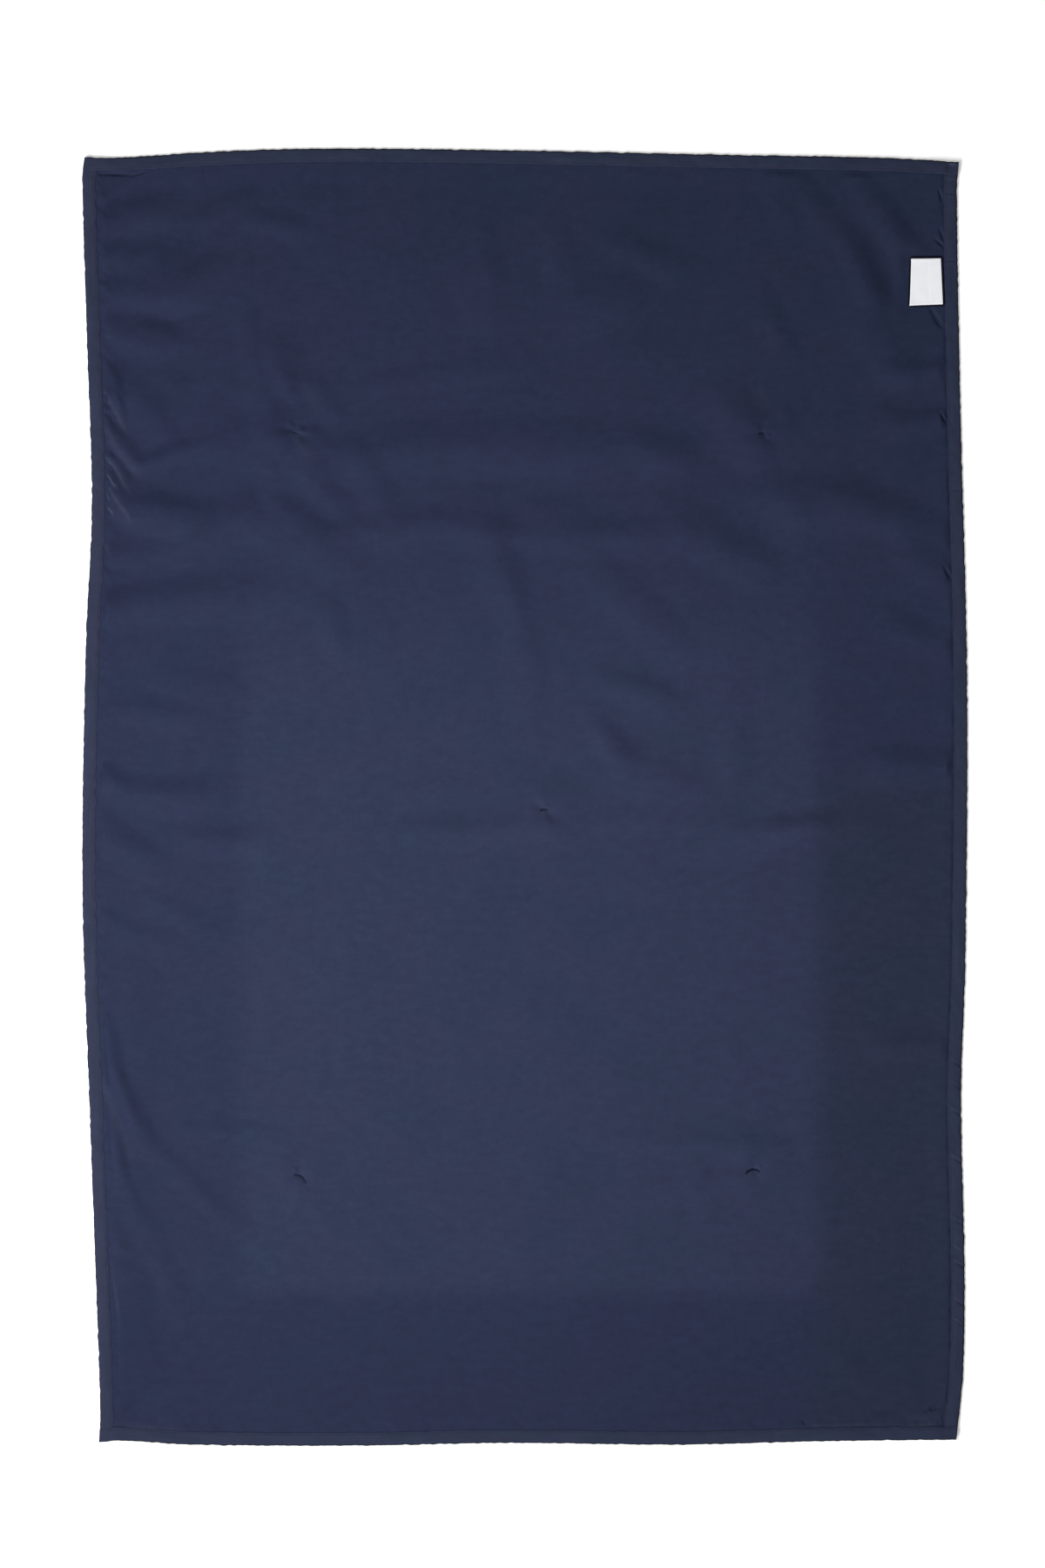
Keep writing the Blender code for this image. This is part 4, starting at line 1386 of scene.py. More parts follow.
@dataclass
class ClothPanel:
    """The one cloth of the blanket: a fine smooth face over a plainer back."""

    lay: Lay
    columns: int = 220
    rows: int = 300
    back_step: int = 4              # the back has one cell for this many of the face's
    side_crowding: float = 0.38     # cells are narrower near the side edges
    end_crowding: float = 0.2
    seam_cells: tuple[float, float] = (13.0 * MM, 30.0 * MM)    # finer cells this far in
    bar_cells: tuple[float, ...] = (20.0, 15.0, 12.5)           # and around tacks, in millimetres
    thinnest: float = 0.6 * MM      # the face stays this far over the surface

    def grid(self, columns: int, rows: int) -> tuple[np.ndarray, np.ndarray]:
        """A grid that is closer together near the edges.

        Args:
            columns: how many cells it has across.
            rows: how many along.

        Returns:
            Places of its corners across and along the blanket, row by row.
        """
        t, s = np.linspace(0, 1, columns + 1), np.linspace(0, 1, rows + 1)
        u = t - self.side_crowding * np.sin(math.tau * t) / math.tau
        v = s - self.end_crowding * np.sin(math.tau * s) / math.tau
        uu, vv = np.meshgrid(u, v)
        return self.lay.outline.place(uu, vv, LIFT)

    def fill(self, bm: bmesh.types.BMesh, columns: int, rows: int) -> np.ndarray:
        """Add a flat grid of faces that look up.

        Args:
            bm: the mesh in the making.
            columns: how many cells the grid has across.
            rows: how many along.

        Returns:
            The numbers of its vertices, row by row.
        """
        x, y = self.grid(columns, rows)
        first = len(bm.verts)
        corners = [[bm.verts.new((a, b, 0.0)) for a, b in zip(xs, ys)] for xs, ys in zip(x, y)]
        for near, far in zip(corners, corners[1:]):
            for k in range(columns):
                bm.faces.new((near[k], near[k + 1], far[k + 1], far[k]))
        return first + np.arange(x.size).reshape(x.shape)

    def divide(self, bm: bmesh.types.BMesh, near: np.ndarray, cuts: int) -> None:
        """Divide the cells whose corners are all near.

        Args:
            bm: the mesh in the making.
            near: one truth for each vertex.
            cuts: how many cuts each edge gets.
        """
        bm.verts.index_update()
        edges = [e for e in bm.edges if near[e.verts[0].index] and near[e.verts[1].index]]
        bmesh.ops.subdivide_edges(bm, edges=edges, cuts=cuts, use_grid_fill=True)

    def refine(self, bm: bmesh.types.BMesh, area: Area) -> None:
        """Divide the face's cells in one area.

        Args:
            bm: the mesh in the making.
            area: where, and how finely.
        """
        x, y = np.array([v.co[:2] for v in bm.verts]).T / MM
        near = (np.abs(x - area.x) < area.reach_x) & (np.abs(y - area.y) < area.reach_y)
        self.divide(bm, near, area.cuts)

    def refine_seams(self, bm: bmesh.types.BMesh) -> None:
        """Divide the face's cells beside the tapes.

        Args:
            bm: the mesh in the making.
        """
        x, y = np.array([v.co[:2] for v in bm.verts]).T
        inset = np.minimum(*self.lay.outline.insets(x, y))
        first, last = self.seam_cells
        self.divide(bm, (inset > first) & (inset < last), 1)

    @staticmethod
    def rim(numbers: np.ndarray) -> list[int]:
        """The outer vertices of a grid.

        Args:
            numbers: the numbers of all its vertices, row by row.

        Returns:
            The numbers of the outer ones, counter-clockwise.
        """
        sides = numbers[0, :-1], numbers[:-1, -1], numbers[-1, :0:-1], numbers[:0:-1, 0]
        return [int(n) for side in sides for n in side]

    def build(self, finish: bpy.types.Material) -> bpy.types.Object:
        """Build the cloth: a closed sheet whose face has the fine folds.

        Args:
            finish: its material.

        Returns:
            The cloth.
        """
        bm = bmesh.new()
        face = self.fill(bm, self.columns, self.rows)
        for bar in BARS:
            for reach in self.bar_cells:
                self.refine(bm, Area(bar.x, bar.y, reach, reach, 1))
        self.refine_seams(bm)
        for area in FINE_AREAS:
            self.refine(bm, area)
        front = len(bm.verts)
        back = self.fill(bm, self.columns // self.back_step, self.rows // self.back_step)
        bm.verts.index_update()
        bm.verts.ensure_lookup_table()
        x, y = np.array([v.co[:2] for v in bm.verts]).T
        height = self.lay.underside(x, y)
        fine = self.lay.face(x[:front], y[:front])
        height[:front] = np.maximum(height[:front] + CLOTH + fine, self.thinnest)
        for vertex, z in zip(bm.verts, height):
            vertex.co.z = z
        bmesh.ops.reverse_faces(bm, faces=[f for f in bm.faces if f.verts[0].index >= front])
        bm.verts.ensure_lookup_table()
        upper, lower = self.rim(face), self.rim(back)
        for k, corner in enumerate(lower):
            first = k * self.back_step
            above = [upper[(first + j) % len(upper)] for j in range(self.back_step + 1)]
            around = (corner, lower[(k + 1) % len(lower)], *reversed(above))
            bm.faces.new([bm.verts[n] for n in around])
        mesh = bpy.data.meshes.new("cloth_panel")
        bm.to_mesh(mesh)
        bm.free()
        # Painted highlights and shade along creases, kept on the face's vertices
        painted_light_and_shade = np.zeros(len(mesh.vertices), np.float32)
        painted_light_and_shade[:front] = self.lay.painted_light_and_shade(x[:front], y[:front])
        mesh.attributes.new("painted_light_and_shade", "FLOAT", "POINT").data.foreach_set("value", painted_light_and_shade)
        return link_mesh("cloth_panel", mesh, finish)


# Insets of the section's points on the flat of a leg, in millimetres: close by the stitching
LEG_POINTS = (3.0, 4.8, 6.8, 8.8, 10.6, 12.0, 12.8, 13.3, 13.8, 14.6, 15.2)


@dataclass
class BindingTape:
    """One tape folded over an edge, with a rounded, slightly scalloped fold."""

    side: Side
    lay: Lay
    step: float = 1.7 * MM
    nose: float = 1.7 * MM          # the rounded fold reaches this far in
    nose_steps: int = 8
    crown: float = 0.28 * MM        # the tape stands a little proud between fold and seam
    groove: float = 0.14 * MM       # the stitches draw it in
    groove_half_width: float = 1.1 * MM
    scallop: float = 1.1 * MM
    wavy: float = 0.9 * MM          # its inner edge strays by this
    round_edge: float = 0.0         # share by which its inner edge is worn thin and round
    pucker: float = 0.60 * MM
    scallop_depth: float = 6 * MM   # the scallops reach this far in
    edge_start: float = 11.5 * MM   # the inner edge strays from here on
    edge_blend: float = 4 * MM
    join_height: float = 0.4 * MM
    join_half_width: float = 1.3 * MM
    ridge_height: float = 0.6 * MM
    ridge_half_width: float = 1.7 * MM
    ridge_lean: float = 0.65        # how far a ridge slants along the tape as it crosses it
    joins: tuple[float, ...] = ()   # places of joins along the tape, in millimetres
    ridges: tuple[Ridge, ...] = ()
    spots: tuple[Spot, ...] = ()

    @property
    def seed(self) -> float:
        """A number that keeps each tape's unevenness its own."""
        return 5.0 + 10.0 * list(Side).index(self.side)

    @property
    def margin(self) -> float:
        """Side tapes stop inside the end tapes' folds."""
        return LIFT if self.side.runs_long else 0.0

    def levels(self, share: np.ndarray) -> tuple[np.ndarray, np.ndarray]:
        """How high the tape lies.

        Args:
            share: shares of its length.

        Returns:
            Heights of its lowest and its highest face there.
        """
        x, y = self.lay.outline.edge_point(self.side, share, STRIP + 0 * share, self.margin)
        side, end = self.lay.outline.insets(x, y)
        if self.side.runs_long:
            low = LIFT * self.lay.held(end)
            return low, low + 2 * LIFT + CLOTH
        return 0.0 * share, 2 * LIFT + CLOTH + 2 * LIFT * self.lay.held(side)

    def relief(self, along: np.ndarray, inset: np.ndarray) -> np.ndarray:
        """The upper leg's crown, puckers, joins, ridges and stitched groove.

        Args:
            along: places along the tape.
            inset: how far in from its edge.

        Returns:
            Their height at each place.
        """
        share = np.clip(inset / STRIP, 0.0, 1.0)
        bulge = np.sin(math.pi * share**0.8)
        height = self.crown * bulge
        height = height + self.pucker * bulge * grain(along, inset, 13 * MM, self.seed)
        edge = smooth((inset - 0.7 * STRIP) / (0.3 * STRIP))
        height = height + 0.5 * self.pucker * edge * grain(along, inset, 7 * MM, self.seed + 1)
        for join in self.joins:
            away = (along - join * MM) / self.join_half_width
            lapped = np.exp(-away**2) - np.exp(-(away - 2.2) ** 2)
            height = height + self.join_height * bulge * lapped
        for ridge in self.ridges:
            away = self.off_ridge(along, inset, ridge)
            height = height + self.ridge_height * bulge * np.exp(-away**2)
        off = (inset - STITCH_INSET) / self.groove_half_width
        return height - self.groove * np.exp(-off**2)

    def off_ridge(self, along: np.ndarray, inset: np.ndarray, ridge: Ridge) -> np.ndarray:
        """Distance upwards from one slanted ridge's crest, as a share of its half width."""
        slant = self.ridge_lean * (inset - 0.5 * STRIP)
        return (along - ridge.along * MM - slant) / self.ridge_half_width

    def painted_light_and_shade(self, along: np.ndarray, inset: np.ndarray) -> np.ndarray:
        """How much brighter the tape is painted on its ridges and spots: painted highlights, and
        painted shade where it is darker.

        Args:
            along: places along the tape.
            inset: how far in from its edge.

        Returns:
            The share at each place, negative where it is darker.
        """
        share = inset / STRIP
        crest, foot = smooth((0.98 - share) / 0.3), smooth((0.75 - share) / 0.35)
        total = np.zeros(np.shape(along))
        for ridge in self.ridges:
            away = self.off_ridge(along, inset, ridge)
            total = total + ridge.bright * crest * np.exp(-away**2)
            total = total - ridge.dark * foot * np.exp(-(away + 1.7) ** 2)
        for spot in self.spots:
            off = (along / MM - spot.along) / spot.reach_along
            off_in = (inset / MM - spot.inset) / spot.reach_in
            total = total + spot.share * np.exp(-off**2 - off_in**2)
        return total

    def upper(self, share: np.ndarray, inset: np.ndarray) -> np.ndarray:
        """Points on the upper leg.

        Args:
            share: shares of the tape's length.
            inset: how far in from its edge.

        Returns:
            The points, a row for each.
        """
        x, y = self.lay.outline.edge_point(self.side, share, inset, self.margin)
        along = y if self.side.runs_long else x
        _, high = self.levels(share)
        return np.stack([x, y, high + self.relief(along, inset)], -1)

    def section(self) -> list[tuple[float, float, float]]:
        """The folded section, once around from the lower leg.

        Returns:
            For each point, its inset, share of the tape's height, and offset from there.
        """
        half_turn = np.linspace(-math.pi / 2, math.pi / 2, self.nose_steps + 1)
        outer = [(self.nose * (1 - math.cos(a)), 0.5 + 0.5 * math.sin(a), 0.0) for a in half_turn]
        lower = [(inset * MM, 0.0, 0.0) for inset in reversed(LEG_POINTS)]
        worn = self.round_edge * 0.5 * TAPE / 6.5
        upper = [(inset * MM, 1.0, -worn * max(inset - 12.0, 0.0) ** 1.5) for inset in LEG_POINTS]
        edge = -(0.3 + 0.3 * self.round_edge) * TAPE
        tip = [(STRIP, 1.0, edge), (STRIP, 1.0, -0.85 * TAPE), (15.2 * MM, 1.0, -TAPE)]
        under = [(inset * MM, 1.0, -TAPE) for inset in (10.0, 5.0, 2.6)]
        inside = [(TAPE, 1.0, -1.6 * TAPE), (TAPE, 0.0, 1.6 * TAPE)]
        over = [(inset * MM, 0.0, TAPE) for inset in (2.6, 5.0, 10.0)]
        foot = [(15.2 * MM, 0.0, TAPE), (STRIP, 0.0, 0.7 * TAPE), (STRIP, 0.0, 0.3 * TAPE)]
        return lower + outer + upper + tip + under + inside + over + foot

    def build(self, finish: bpy.types.Material) -> bpy.types.Object:
        """Sweep the section along the edge and close its ends.

        Args:
            finish: its material.

        Returns:
            The tape.
        """
        length = LONG_EDGE if self.side.runs_long else SHORT_EDGE
        share = np.linspace(0, 1, round(length / self.step) + 1)
        low, high = self.levels(share)
        _, along = self.lay.outline.edge_point(self.side, share, 0 * share, self.margin)
        if not self.side.runs_long:
            along, _ = self.lay.outline.edge_point(self.side, share, 0 * share, self.margin)
        wave = grain(along, 0 * along, 6.5 * MM, self.seed + 2)
        wave = 0.7 * wave + 0.6 * grain(along, 0 * along, 15 * MM, self.seed + 3)
        stray = self.wavy * grain(along, 0 * along, 11 * MM, self.seed + 4)
        section = self.section()
        rings, across, painted_rows, run = [], [], [], 0.0
        for k, (inset, level, offset) in enumerate(section):
            shift = self.scallop * wave * (1.0 - smooth(np.array(inset / self.scallop_depth)))
            shift = shift + stray * smooth(np.array((inset - self.edge_start) / self.edge_blend))
            x, y = self.lay.outline.edge_point(self.side, share, inset + shift, self.margin)
            z = low + (high - low) * level + offset
            raised = self.relief(along, np.full(along.shape, inset))
            if level == 1.0:
                z = z + raised * smooth(np.array(inset / self.nose - 1.0))
            rings.append(np.stack([x, y, z], -1))
            # Painted highlights and shade, on the upper leg only
            painted_share = self.painted_light_and_shade(along, np.full(along.shape, inset))
            painted_rows.append(painted_share if level > 0.5 else 0.0 * painted_share)
            if k:
                before = section[k - 1]
                rise = (level - before[1]) * (2 * LIFT + CLOTH) + offset - before[2]
                run += math.hypot(inset - before[0], rise)
            across.append(run)
        fold_line = across[len(LEG_POINTS) + self.nose_steps // 4]
        points = np.stack(rings, 1)
        stations, count = points.shape[:2]
        i, k = np.meshgrid(np.arange(stations - 1), np.arange(count), indexing="ij")
        after = (k + 1) % count
        corners = [i * count + k, i * count + after, (i + 1) * count + after, (i + 1) * count + k]
        faces = np.stack([c.ravel() for c in corners], -1)
        mesh = from_arrays(f"tape_{self.side.value}", points.reshape(-1, 3), faces)
        painted_share = np.stack(painted_rows, 1).ravel().astype(np.float32)
        mesh.attributes.new("painted_light_and_shade", "FLOAT", "POINT").data.foreach_set("value", painted_share)
        across = np.array(across + [across[-1] + TAPE]) - fold_line
        uv = np.empty((len(faces), 4, 2))
        place = along - along[0]
        uv[:, :, 0] = np.stack([place[i], place[i], place[i + 1], place[i + 1]], -1).reshape(-1, 4)
        uv[:, :, 1] = np.stack([across[k], across[k + 1], across[k + 1], across[k]], -1).reshape(-1, 4)
        layer = mesh.uv_layers.new(name="tape")
        layer.data.foreach_set("uv", uv.ravel().astype(np.float32))
        bm = bmesh.new()
        bm.from_mesh(mesh)
        ends = [e for e in bm.edges if e.is_boundary]
        bmesh.ops.holes_fill(bm, edges=ends, sides=0)
        bmesh.ops.recalc_face_normals(bm, faces=bm.faces[:])
        bm.to_mesh(mesh)
        bm.free()
        return link_mesh(mesh.name, mesh, finish)


def stitch(length: float, radius: float) -> bpy.types.Object:
    """Model one stitch along X: a short thread whose ends turn down.

    Args:
        length: how long it is.
        radius: how thick its thread is.

    Returns:
        The stitch.
    """
    deselect_all()
    bpy.ops.mesh.primitive_cylinder_add(
        vertices=6, radius=radius, depth=0.5 * length, rotation=(0, math.pi / 2, 0)
    )
    piece = bpy.context.object
    bpy.ops.object.transform_apply(location=False, rotation=True, scale=False)
    for way in (1, -1):
        bpy.ops.object.mode_set(mode="EDIT")
        bpy.ops.mesh.select_all(action="DESELECT")
        bpy.ops.object.mode_set(mode="OBJECT")
        for face in piece.data.polygons:
            face.select = face.normal.x * way > 0.9
        bpy.ops.object.mode_set(mode="EDIT")
        bpy.ops.mesh.select_mode(type="FACE")
        bpy.ops.mesh.extrude_region_move(
            TRANSFORM_OT_translate={"value": (way * 0.25 * length, 0, -0.8 * radius)}
        )
        bpy.ops.transform.resize(value=(0.6, 0.6, 0.6))
        bpy.ops.object.mode_set(mode="OBJECT")
    return piece


def lay_copies(
    name: str,
    pattern: bpy.types.Object,
    places: list[tuple[Vector, Vector]],
    finish: bpy.types.Material,
) -> bpy.types.Object:
    """Lay copies of one small piece out as one mesh, and take the piece away.

    Args:
        name: the new piece's name.
        pattern: what is copied, modelled along X.
        places: where each copy's middle goes, and which way it runs.
        finish: the material.

    Returns:
        The joined copies.
    """
    shape = np.array([v.co for v in pattern.data.vertices])
    faces = [tuple(p.vertices) for p in pattern.data.polygons]
    bpy.data.objects.remove(pattern, do_unlink=True)
    points, polygons = [], []
    for k, (middle, way) in enumerate(places):
        run = way.normalized()
        aside = Vector((0, 0, 1)).cross(run).normalized()
        points.append(np.array(middle) + shape @ np.array([run, aside, run.cross(aside)]))
        polygons += [tuple(k * len(shape) + v for v in face) for face in faces]
    mesh = bpy.data.meshes.new(name)
    mesh.from_pydata(np.concatenate(points).tolist(), [], polygons)
    mesh.update()
    return link_mesh(name, mesh, finish)


@dataclass
class Topstitch:
    """A row of stitches that holds one tape."""

    tape: BindingTape
    pitch: float = 3.1 * MM
    length: float = 2.5 * MM
    radius: float = 0.22 * MM
    stray: float = 0.12 * MM        # stitches lie this far off their line
    long_row: float = 1.48          # what a row along a side takes up
    short_row: float = 1.0

    def build(self, finish: bpy.types.Material) -> bpy.types.Object:
        """Lay stitches along the tape's groove, on its upper face.

        Args:
            finish: their material.

        Returns:
            The row of stitches.
        """
        length = self.long_row if self.tape.side.runs_long else self.short_row
        count = round(length / self.pitch)
        margin = 0.5 * STRIP / length
        share = np.linspace(margin, 1 - margin, 2 * count + 1)
        line = self.tape.upper(share, np.full(share.shape, STITCH_INSET))
        places = []
        for k in range(count):
            start, middle, end = line[2 * k], line[2 * k + 1], line[2 * k + 2]
            stray = self.stray * noise.noise(Vector((k * 1.7, self.tape.seed, 0.5)))
            aside = Vector((0, 0, 1)).cross(Vector(end - start)).normalized() * stray
            places.append((Vector(middle) + aside, Vector(end - start)))
        name = f"topstitch_{self.tape.side.value}"
        return lay_copies(name, stitch(self.length, self.radius), places, finish)


@dataclass
class TackBar:
    """The short bar of thread of one tack, wrapped across."""

    bar: Bar
    lay: Lay
    wraps_apart: float = 1.1 * MM

    def build(self, finish: bpy.types.Material) -> bpy.types.Object:
        """Model the bar as a thread along its arc, with wraps, and join them.

        Args:
            finish: its material.

        Returns:
            The bar.
        """
        deselect_all()
        radius = self.bar.radius * MM
        places = np.array(self.bar.arc(10)) * MM
        x, y = places.T
        z = self.lay.underside(x, y) + CLOTH + self.lay.face(x, y) + 0.4 * radius
        z[0] -= radius
        z[-1] -= radius
        path = [Vector(p) for p in zip(x, y, z)]
        bpy.ops.mesh.primitive_circle_add(vertices=8, radius=radius, fill_type="NGON")
        bar = bpy.context.object
        bar.name = f"tack_{self.bar.name}"
        run = (path[1] - path[0]).normalized()
        bar.rotation_euler = run.to_track_quat("Z", "Y").to_euler()
        bar.location = path[0]
        bpy.ops.object.transform_apply(location=True, rotation=True, scale=False)
        bpy.ops.object.mode_set(mode="EDIT")
        bpy.ops.mesh.select_all(action="SELECT")
        for here, after in zip(path, path[1:]):
            bpy.ops.mesh.extrude_region_move(
                TRANSFORM_OT_translate={"value": tuple(after - here)}
            )
        bpy.ops.mesh.select_all(action="SELECT")
        bpy.ops.mesh.normals_make_consistent(inside=False)
        bpy.ops.object.mode_set(mode="OBJECT")
        wraps = [bar]
        count = round(self.bar.length * MM / self.wraps_apart)
        for k in range(1, count):
            share = k / count * (len(path) - 1)
            low = min(int(share), len(path) - 2)
            middle = path[low].lerp(path[low + 1], share - low)
            run = path[low + 1] - path[low]
            deselect_all()
            bpy.ops.mesh.primitive_torus_add(
                location=middle, major_segments=10, minor_segments=5,
                major_radius=1.05 * radius, minor_radius=0.3 * radius,
                rotation=run.to_track_quat("Z", "Y").to_euler(),
            )
            wraps.append(bpy.context.object)
        deselect_all()
        for piece in wraps:
            piece.select_set(True)
        bpy.context.view_layer.objects.active = bar
        bpy.ops.object.join()
        bpy.ops.object.transform_apply(location=True, rotation=True, scale=True)
        bar.data.shade_smooth()
        bar.data.materials.append(finish)
        return bar


@dataclass
class BareLabel:
    """The white label, bare: a ribbon folded double, with a fine woven border."""

    columns: int = 36
    rows: int = 48
    width: float = 38 * MM
    length: float = 56 * MM
    edge: float = 0.8 * MM          # its edges are rounded over this width
    curl: float = 0.5 * MM          # its free corners stand a little off the cloth
    uneven: float = 0.12 * MM
    sunk: float = 0.10 * MM         # the middle lies this much lower than the woven border

    def build(self, finish: bpy.types.Material) -> bpy.types.Object:
        """Build the label as a closed soft-edged sheet on the cloth.

        Args:
            finish: its material.

        Returns:
            The label.
        """
        low = LIFT + CLOTH + GAP
        u, v = np.meshgrid(np.linspace(0, 1, self.columns + 1), np.linspace(0, 1, self.rows + 1))
        a, b, c, d = [np.array(p) * MM for p in LABEL]
        weights = [(1 - u) * (1 - v), u * (1 - v), u * v, (1 - u) * v]
        flat = sum(w[..., None] * corner for w, corner in zip(weights, (a, b, c, d)))
        to_side, to_end = np.minimum(u, 1 - u) * self.width, np.minimum(v, 1 - v) * self.length
        to_edge = np.minimum(to_side, to_end)
        rounded = np.sqrt(np.clip(1 - (1 - np.clip(to_edge / self.edge, 0, 1)) ** 2, 0, 1))
        corner = (1 - u) ** 3 * (2 * v - 1) ** 4
        wavy = grain(flat[..., 0], flat[..., 1], 14 * MM, 2.0)
        lift = self.curl * corner + self.uneven * wavy
        lift = np.maximum(lift, 0.0)
        panel = smooth((0.62 - u) / 0.03) * smooth((u - 0.07) / 0.03)
        panel = panel * smooth((v - 0.06) / 0.02) * smooth((0.94 - v) / 0.02)
        top = low + lift + TAG * (0.45 + 0.55 * rounded) - self.sunk * panel
        bottom = low + lift + TAG * 0.15 * (1 - rounded)
        count = (self.columns + 1) * (self.rows + 1)
        points = np.concatenate([
            np.concatenate([flat, top[..., None]], -1).reshape(-1, 3),
            np.concatenate([flat, bottom[..., None]], -1).reshape(-1, 3),
        ])
        i, k = np.meshgrid(np.arange(self.rows), np.arange(self.columns), indexing="ij")
        wide = self.columns + 1
        here, above = i * wide + k, (i + 1) * wide + k
        upper = np.stack([here, here + 1, above + 1, above], -1).reshape(-1, 4)
        mesh = from_arrays("label_bare", points, np.concatenate([upper, upper[:, ::-1] + count]))
        bm = bmesh.new()
        bm.from_mesh(mesh)
        bmesh.ops.bridge_loops(bm, edges=[e for e in bm.edges if e.is_boundary])
        bmesh.ops.recalc_face_normals(bm, faces=bm.faces[:])
        bm.to_mesh(mesh)
        bm.free()
        return link_mesh("label_bare", mesh, finish)


@dataclass
class LabelEdging:
    """Close slanted stitches over the label's edges, in near-black thread that also stands in for the
    shade line round the label.
    """

    pitch: float = 0.75 * MM
    length: float = 2.9 * MM
    radius: float = 0.42 * MM
    lean: float = 0.35              # how far each stitch slants along the edge

    def build(self, finish: bpy.types.Material) -> bpy.types.Object:
        """Lay stitches across all four edges, turning round the corners.

        Args:
            finish: their material.

        Returns:
            The stitches.
        """
        corners = [Vector((*corner, 0.0)) * MM for corner in LABEL]
        height = LIFT + CLOTH + GAP + 0.80 * TAG
        places = []
        for here, after in zip(corners, corners[1:] + corners[:1]):
            run = (after - here).normalized()
            out = run.cross(Vector((0, 0, 1)))
            count = round((after - here).length / self.pitch)
            for k in range(count):
                middle = here.lerp(after, (k + 0.5) / count) + 0.12 * self.length * out
                middle.z = height
                places.append((middle, out + self.lean * run))
        return lay_copies("label_edging", stitch(self.length, self.radius), places, finish)


@dataclass(frozen=True)
class Softbox:
    """A soft lamp: where it stands, what it faces, how big it is and how much light it gives."""

    name: str
    place: tuple[float, float, float]
    faces: tuple[float, float, float]
    size: float
    watts: float

    def build(self) -> bpy.types.Object:
        """Add the lamp, unseen by the camera.

        Returns:
            The lamp.
        """
        way = Vector(self.faces) - Vector(self.place)
        bpy.ops.object.light_add(
            type="AREA", location=self.place, rotation=way.to_track_quat("-Z", "Y").to_euler()
        )
        lamp = bpy.context.object
        lamp.name = self.name
        lamp.data.shape = "DISK"
        lamp.data.size = self.size
        lamp.data.energy = self.watts
        lamp.visible_camera = False
        return lamp


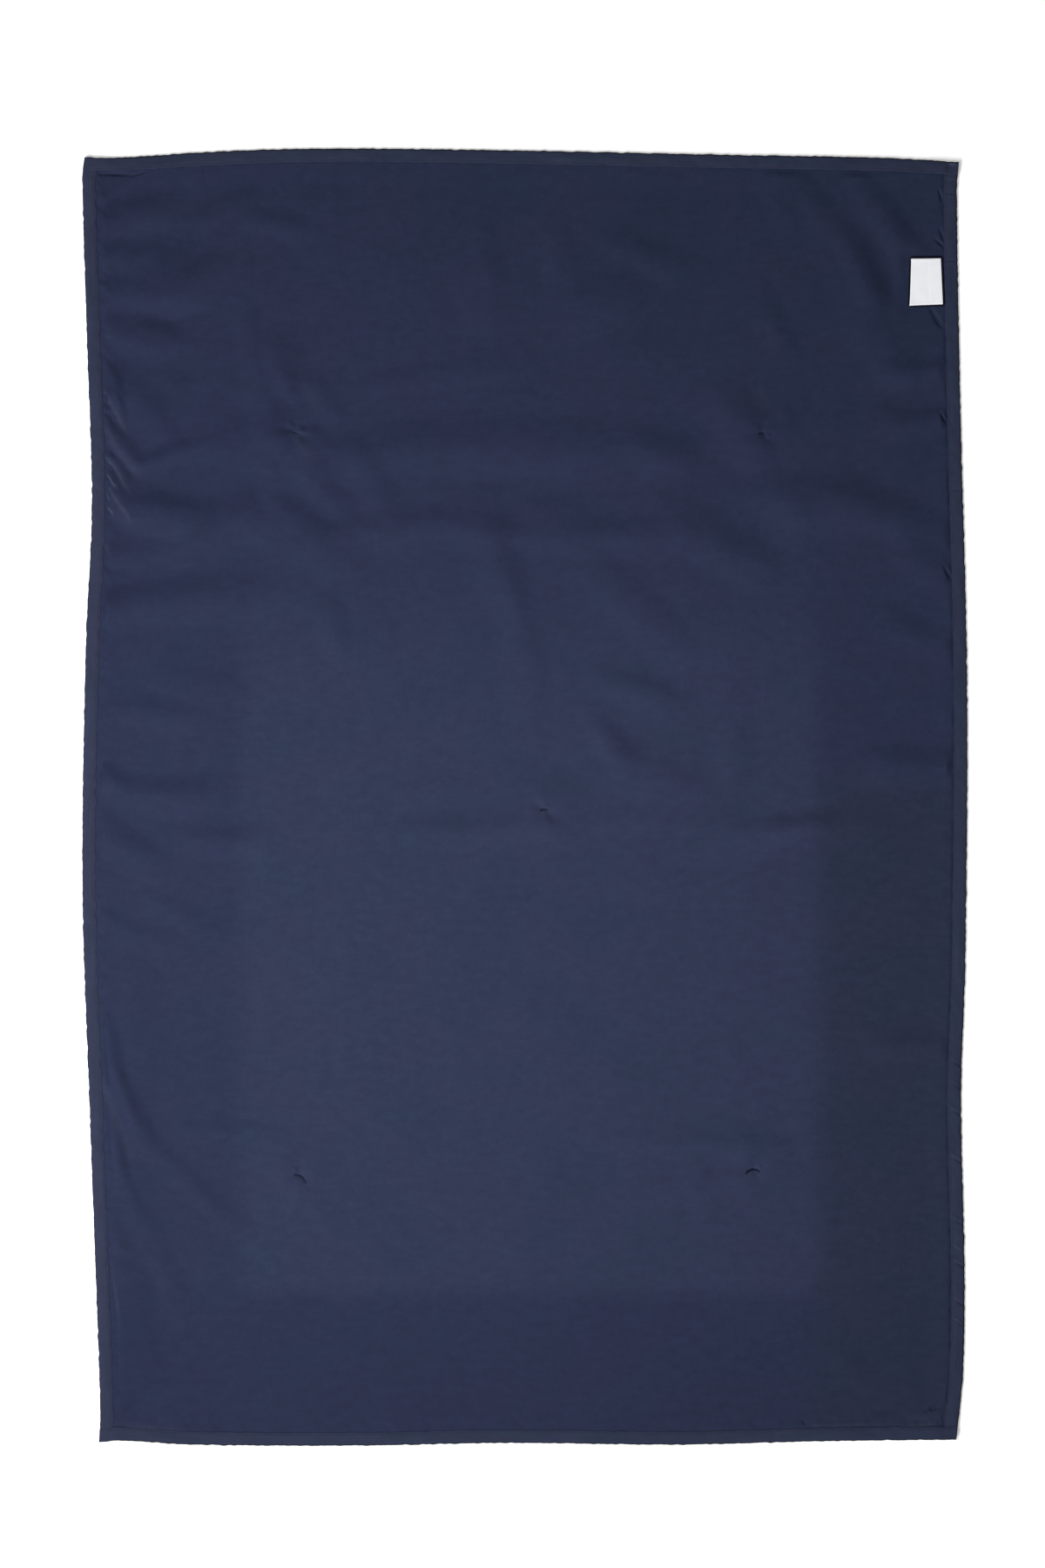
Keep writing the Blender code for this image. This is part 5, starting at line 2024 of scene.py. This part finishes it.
@dataclass(frozen=True)
class Studio:
    """A pale floor, soft light from the lower left, and a camera straight above."""

    view_height: float = 1.8432     # what the camera's long side sees on the floor
    view_x: float = -2.6 * MM
    view_y: float = 15.4 * MM
    lens: float = 120.0
    sensor: float = 36.0
    floor_size: float = 14.0
    floor_drop: float = 0.2 * MM    # the floor lies just clear of the blanket
    ambient: float = 0.16
    sun_watts: float = 2.3
    sun_height_deg: float = 30.0
    sun_from_deg: float = 235.0     # 180 is from -X, 270 from -Y
    sun_spread_deg: float = 24.0
    lamps: tuple[Softbox, ...] = (
        Softbox("overhead", (-0.46, -0.24, 1.62), (-0.42, -0.20, 0.0), 1.0, 31.2),
    )

    def floor(self) -> bpy.types.Object:
        """Lay the floor.

        Returns:
            The floor.
        """
        deselect_all()
        bpy.ops.mesh.primitive_plane_add(size=self.floor_size, location=(0, 0, -self.floor_drop))
        floor = bpy.context.object
        floor.name = "floor"
        bpy.ops.object.transform_apply(location=True, rotation=False, scale=False)
        floor.data.materials.append(PaleFloor().material())
        return floor

    def camera(self) -> bpy.types.Object:
        """Hang the camera over the blanket.

        Returns:
            The camera.
        """
        distance = self.view_height / 2 / (self.sensor / 2 / self.lens)
        bpy.ops.object.camera_add(location=(self.view_x, self.view_y, distance), rotation=(0, 0, 0))
        camera = bpy.context.object
        camera.name = "camera"
        camera.data.lens = self.lens
        camera.data.sensor_width = self.sensor
        camera.data.clip_end = 100.0
        bpy.context.scene.camera = camera
        return camera

    def light(self) -> None:
        """Set the even light, the low broad light and the soft lamps."""
        world = bpy.data.worlds.new("studio")
        world.use_nodes = True
        world.node_tree.nodes["Background"].inputs["Color"].default_value = (1.0, 1.0, 1.0, 1.0)
        world.node_tree.nodes["Background"].inputs["Strength"].default_value = self.ambient
        bpy.context.scene.world = world
        rise, turn = math.radians(self.sun_height_deg), math.radians(self.sun_from_deg)
        towards = Vector((
            math.cos(turn) * math.cos(rise), math.sin(turn) * math.cos(rise), math.sin(rise),
        ))
        bpy.ops.object.light_add(type="SUN", rotation=towards.to_track_quat("Z", "Y").to_euler())
        sun = bpy.context.object
        sun.name = "broad_low_light"
        sun.data.energy = self.sun_watts
        sun.data.angle = math.radians(self.sun_spread_deg)
        for lamp in self.lamps:
            lamp.build()

    def build(self) -> None:
        """Set up the studio."""
        self.floor()
        self.light()
        self.camera()
        bpy.context.scene.view_settings.view_transform = "Standard"


def put_on(piece: bpy.types.Object, slot: str, *nodes: str) -> bpy.types.Object:
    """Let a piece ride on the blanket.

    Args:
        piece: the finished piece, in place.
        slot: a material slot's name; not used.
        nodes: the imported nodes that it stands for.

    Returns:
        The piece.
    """
    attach(piece, "root")
    if nodes:
        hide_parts(*nodes)
    LOG.info("%s: %d faces", piece.name, len(piece.data.polygons))
    return piece


def main() -> None:
    """Build the studio and the blanket's pieces in order."""
    logging.basicConfig(level=logging.INFO)
    Studio().build()
    lay = Lay()
    tape_finish = TapeCloth().material()
    thread = SewingThread("sewing_thread", (0.020, 0.023, 0.045)).material()
    dark_thread = SewingThread("dark_thread", (0.007, 0.008, 0.019), 0.05).material()
    panel = put_on(ClothPanel(lay).build(PanelCloth().material()), "panel_cloth", "panel")
    on_panel = []
    tapes = (
        BindingTape(Side.LEFT, lay, crown=0.75 * MM, wavy=1.3 * MM, round_edge=1.0, joins=(358.0,)),
        BindingTape(Side.RIGHT, lay, joins=(706.0, 627.0, 358.0),
                    ridges=RIGHT_RIDGES, spots=RIGHT_SPOTS, step=1.25 * MM),
        BindingTape(Side.TOP, lay, crown=0.18 * MM, round_edge=0.5, spots=TOP_SPOTS),
        BindingTape(Side.BOTTOM, lay, crown=0.48 * MM, round_edge=1.0),
    )
    for tape in tapes:
        piece = put_on(tape.build(tape_finish), "binding_tape", f"binding_{tape.side.value}")
        on_panel += [piece, put_on(Topstitch(tape).build(thread), "sewing_thread")]
    for bar in BARS:
        on_panel.append(put_on(TackBar(bar, lay).build(dark_thread), "sewing_thread"))
    label = put_on(BareLabel().build(LabelRibbon().material()), "label_ribbon", "label")
    # The edging's near-black stitches also stand in for the shade line round the label, as painted
    # shade
    on_panel.append(put_on(LabelEdging().build(dark_thread), "sewing_thread"))


if __name__ == "__main__":
    main()
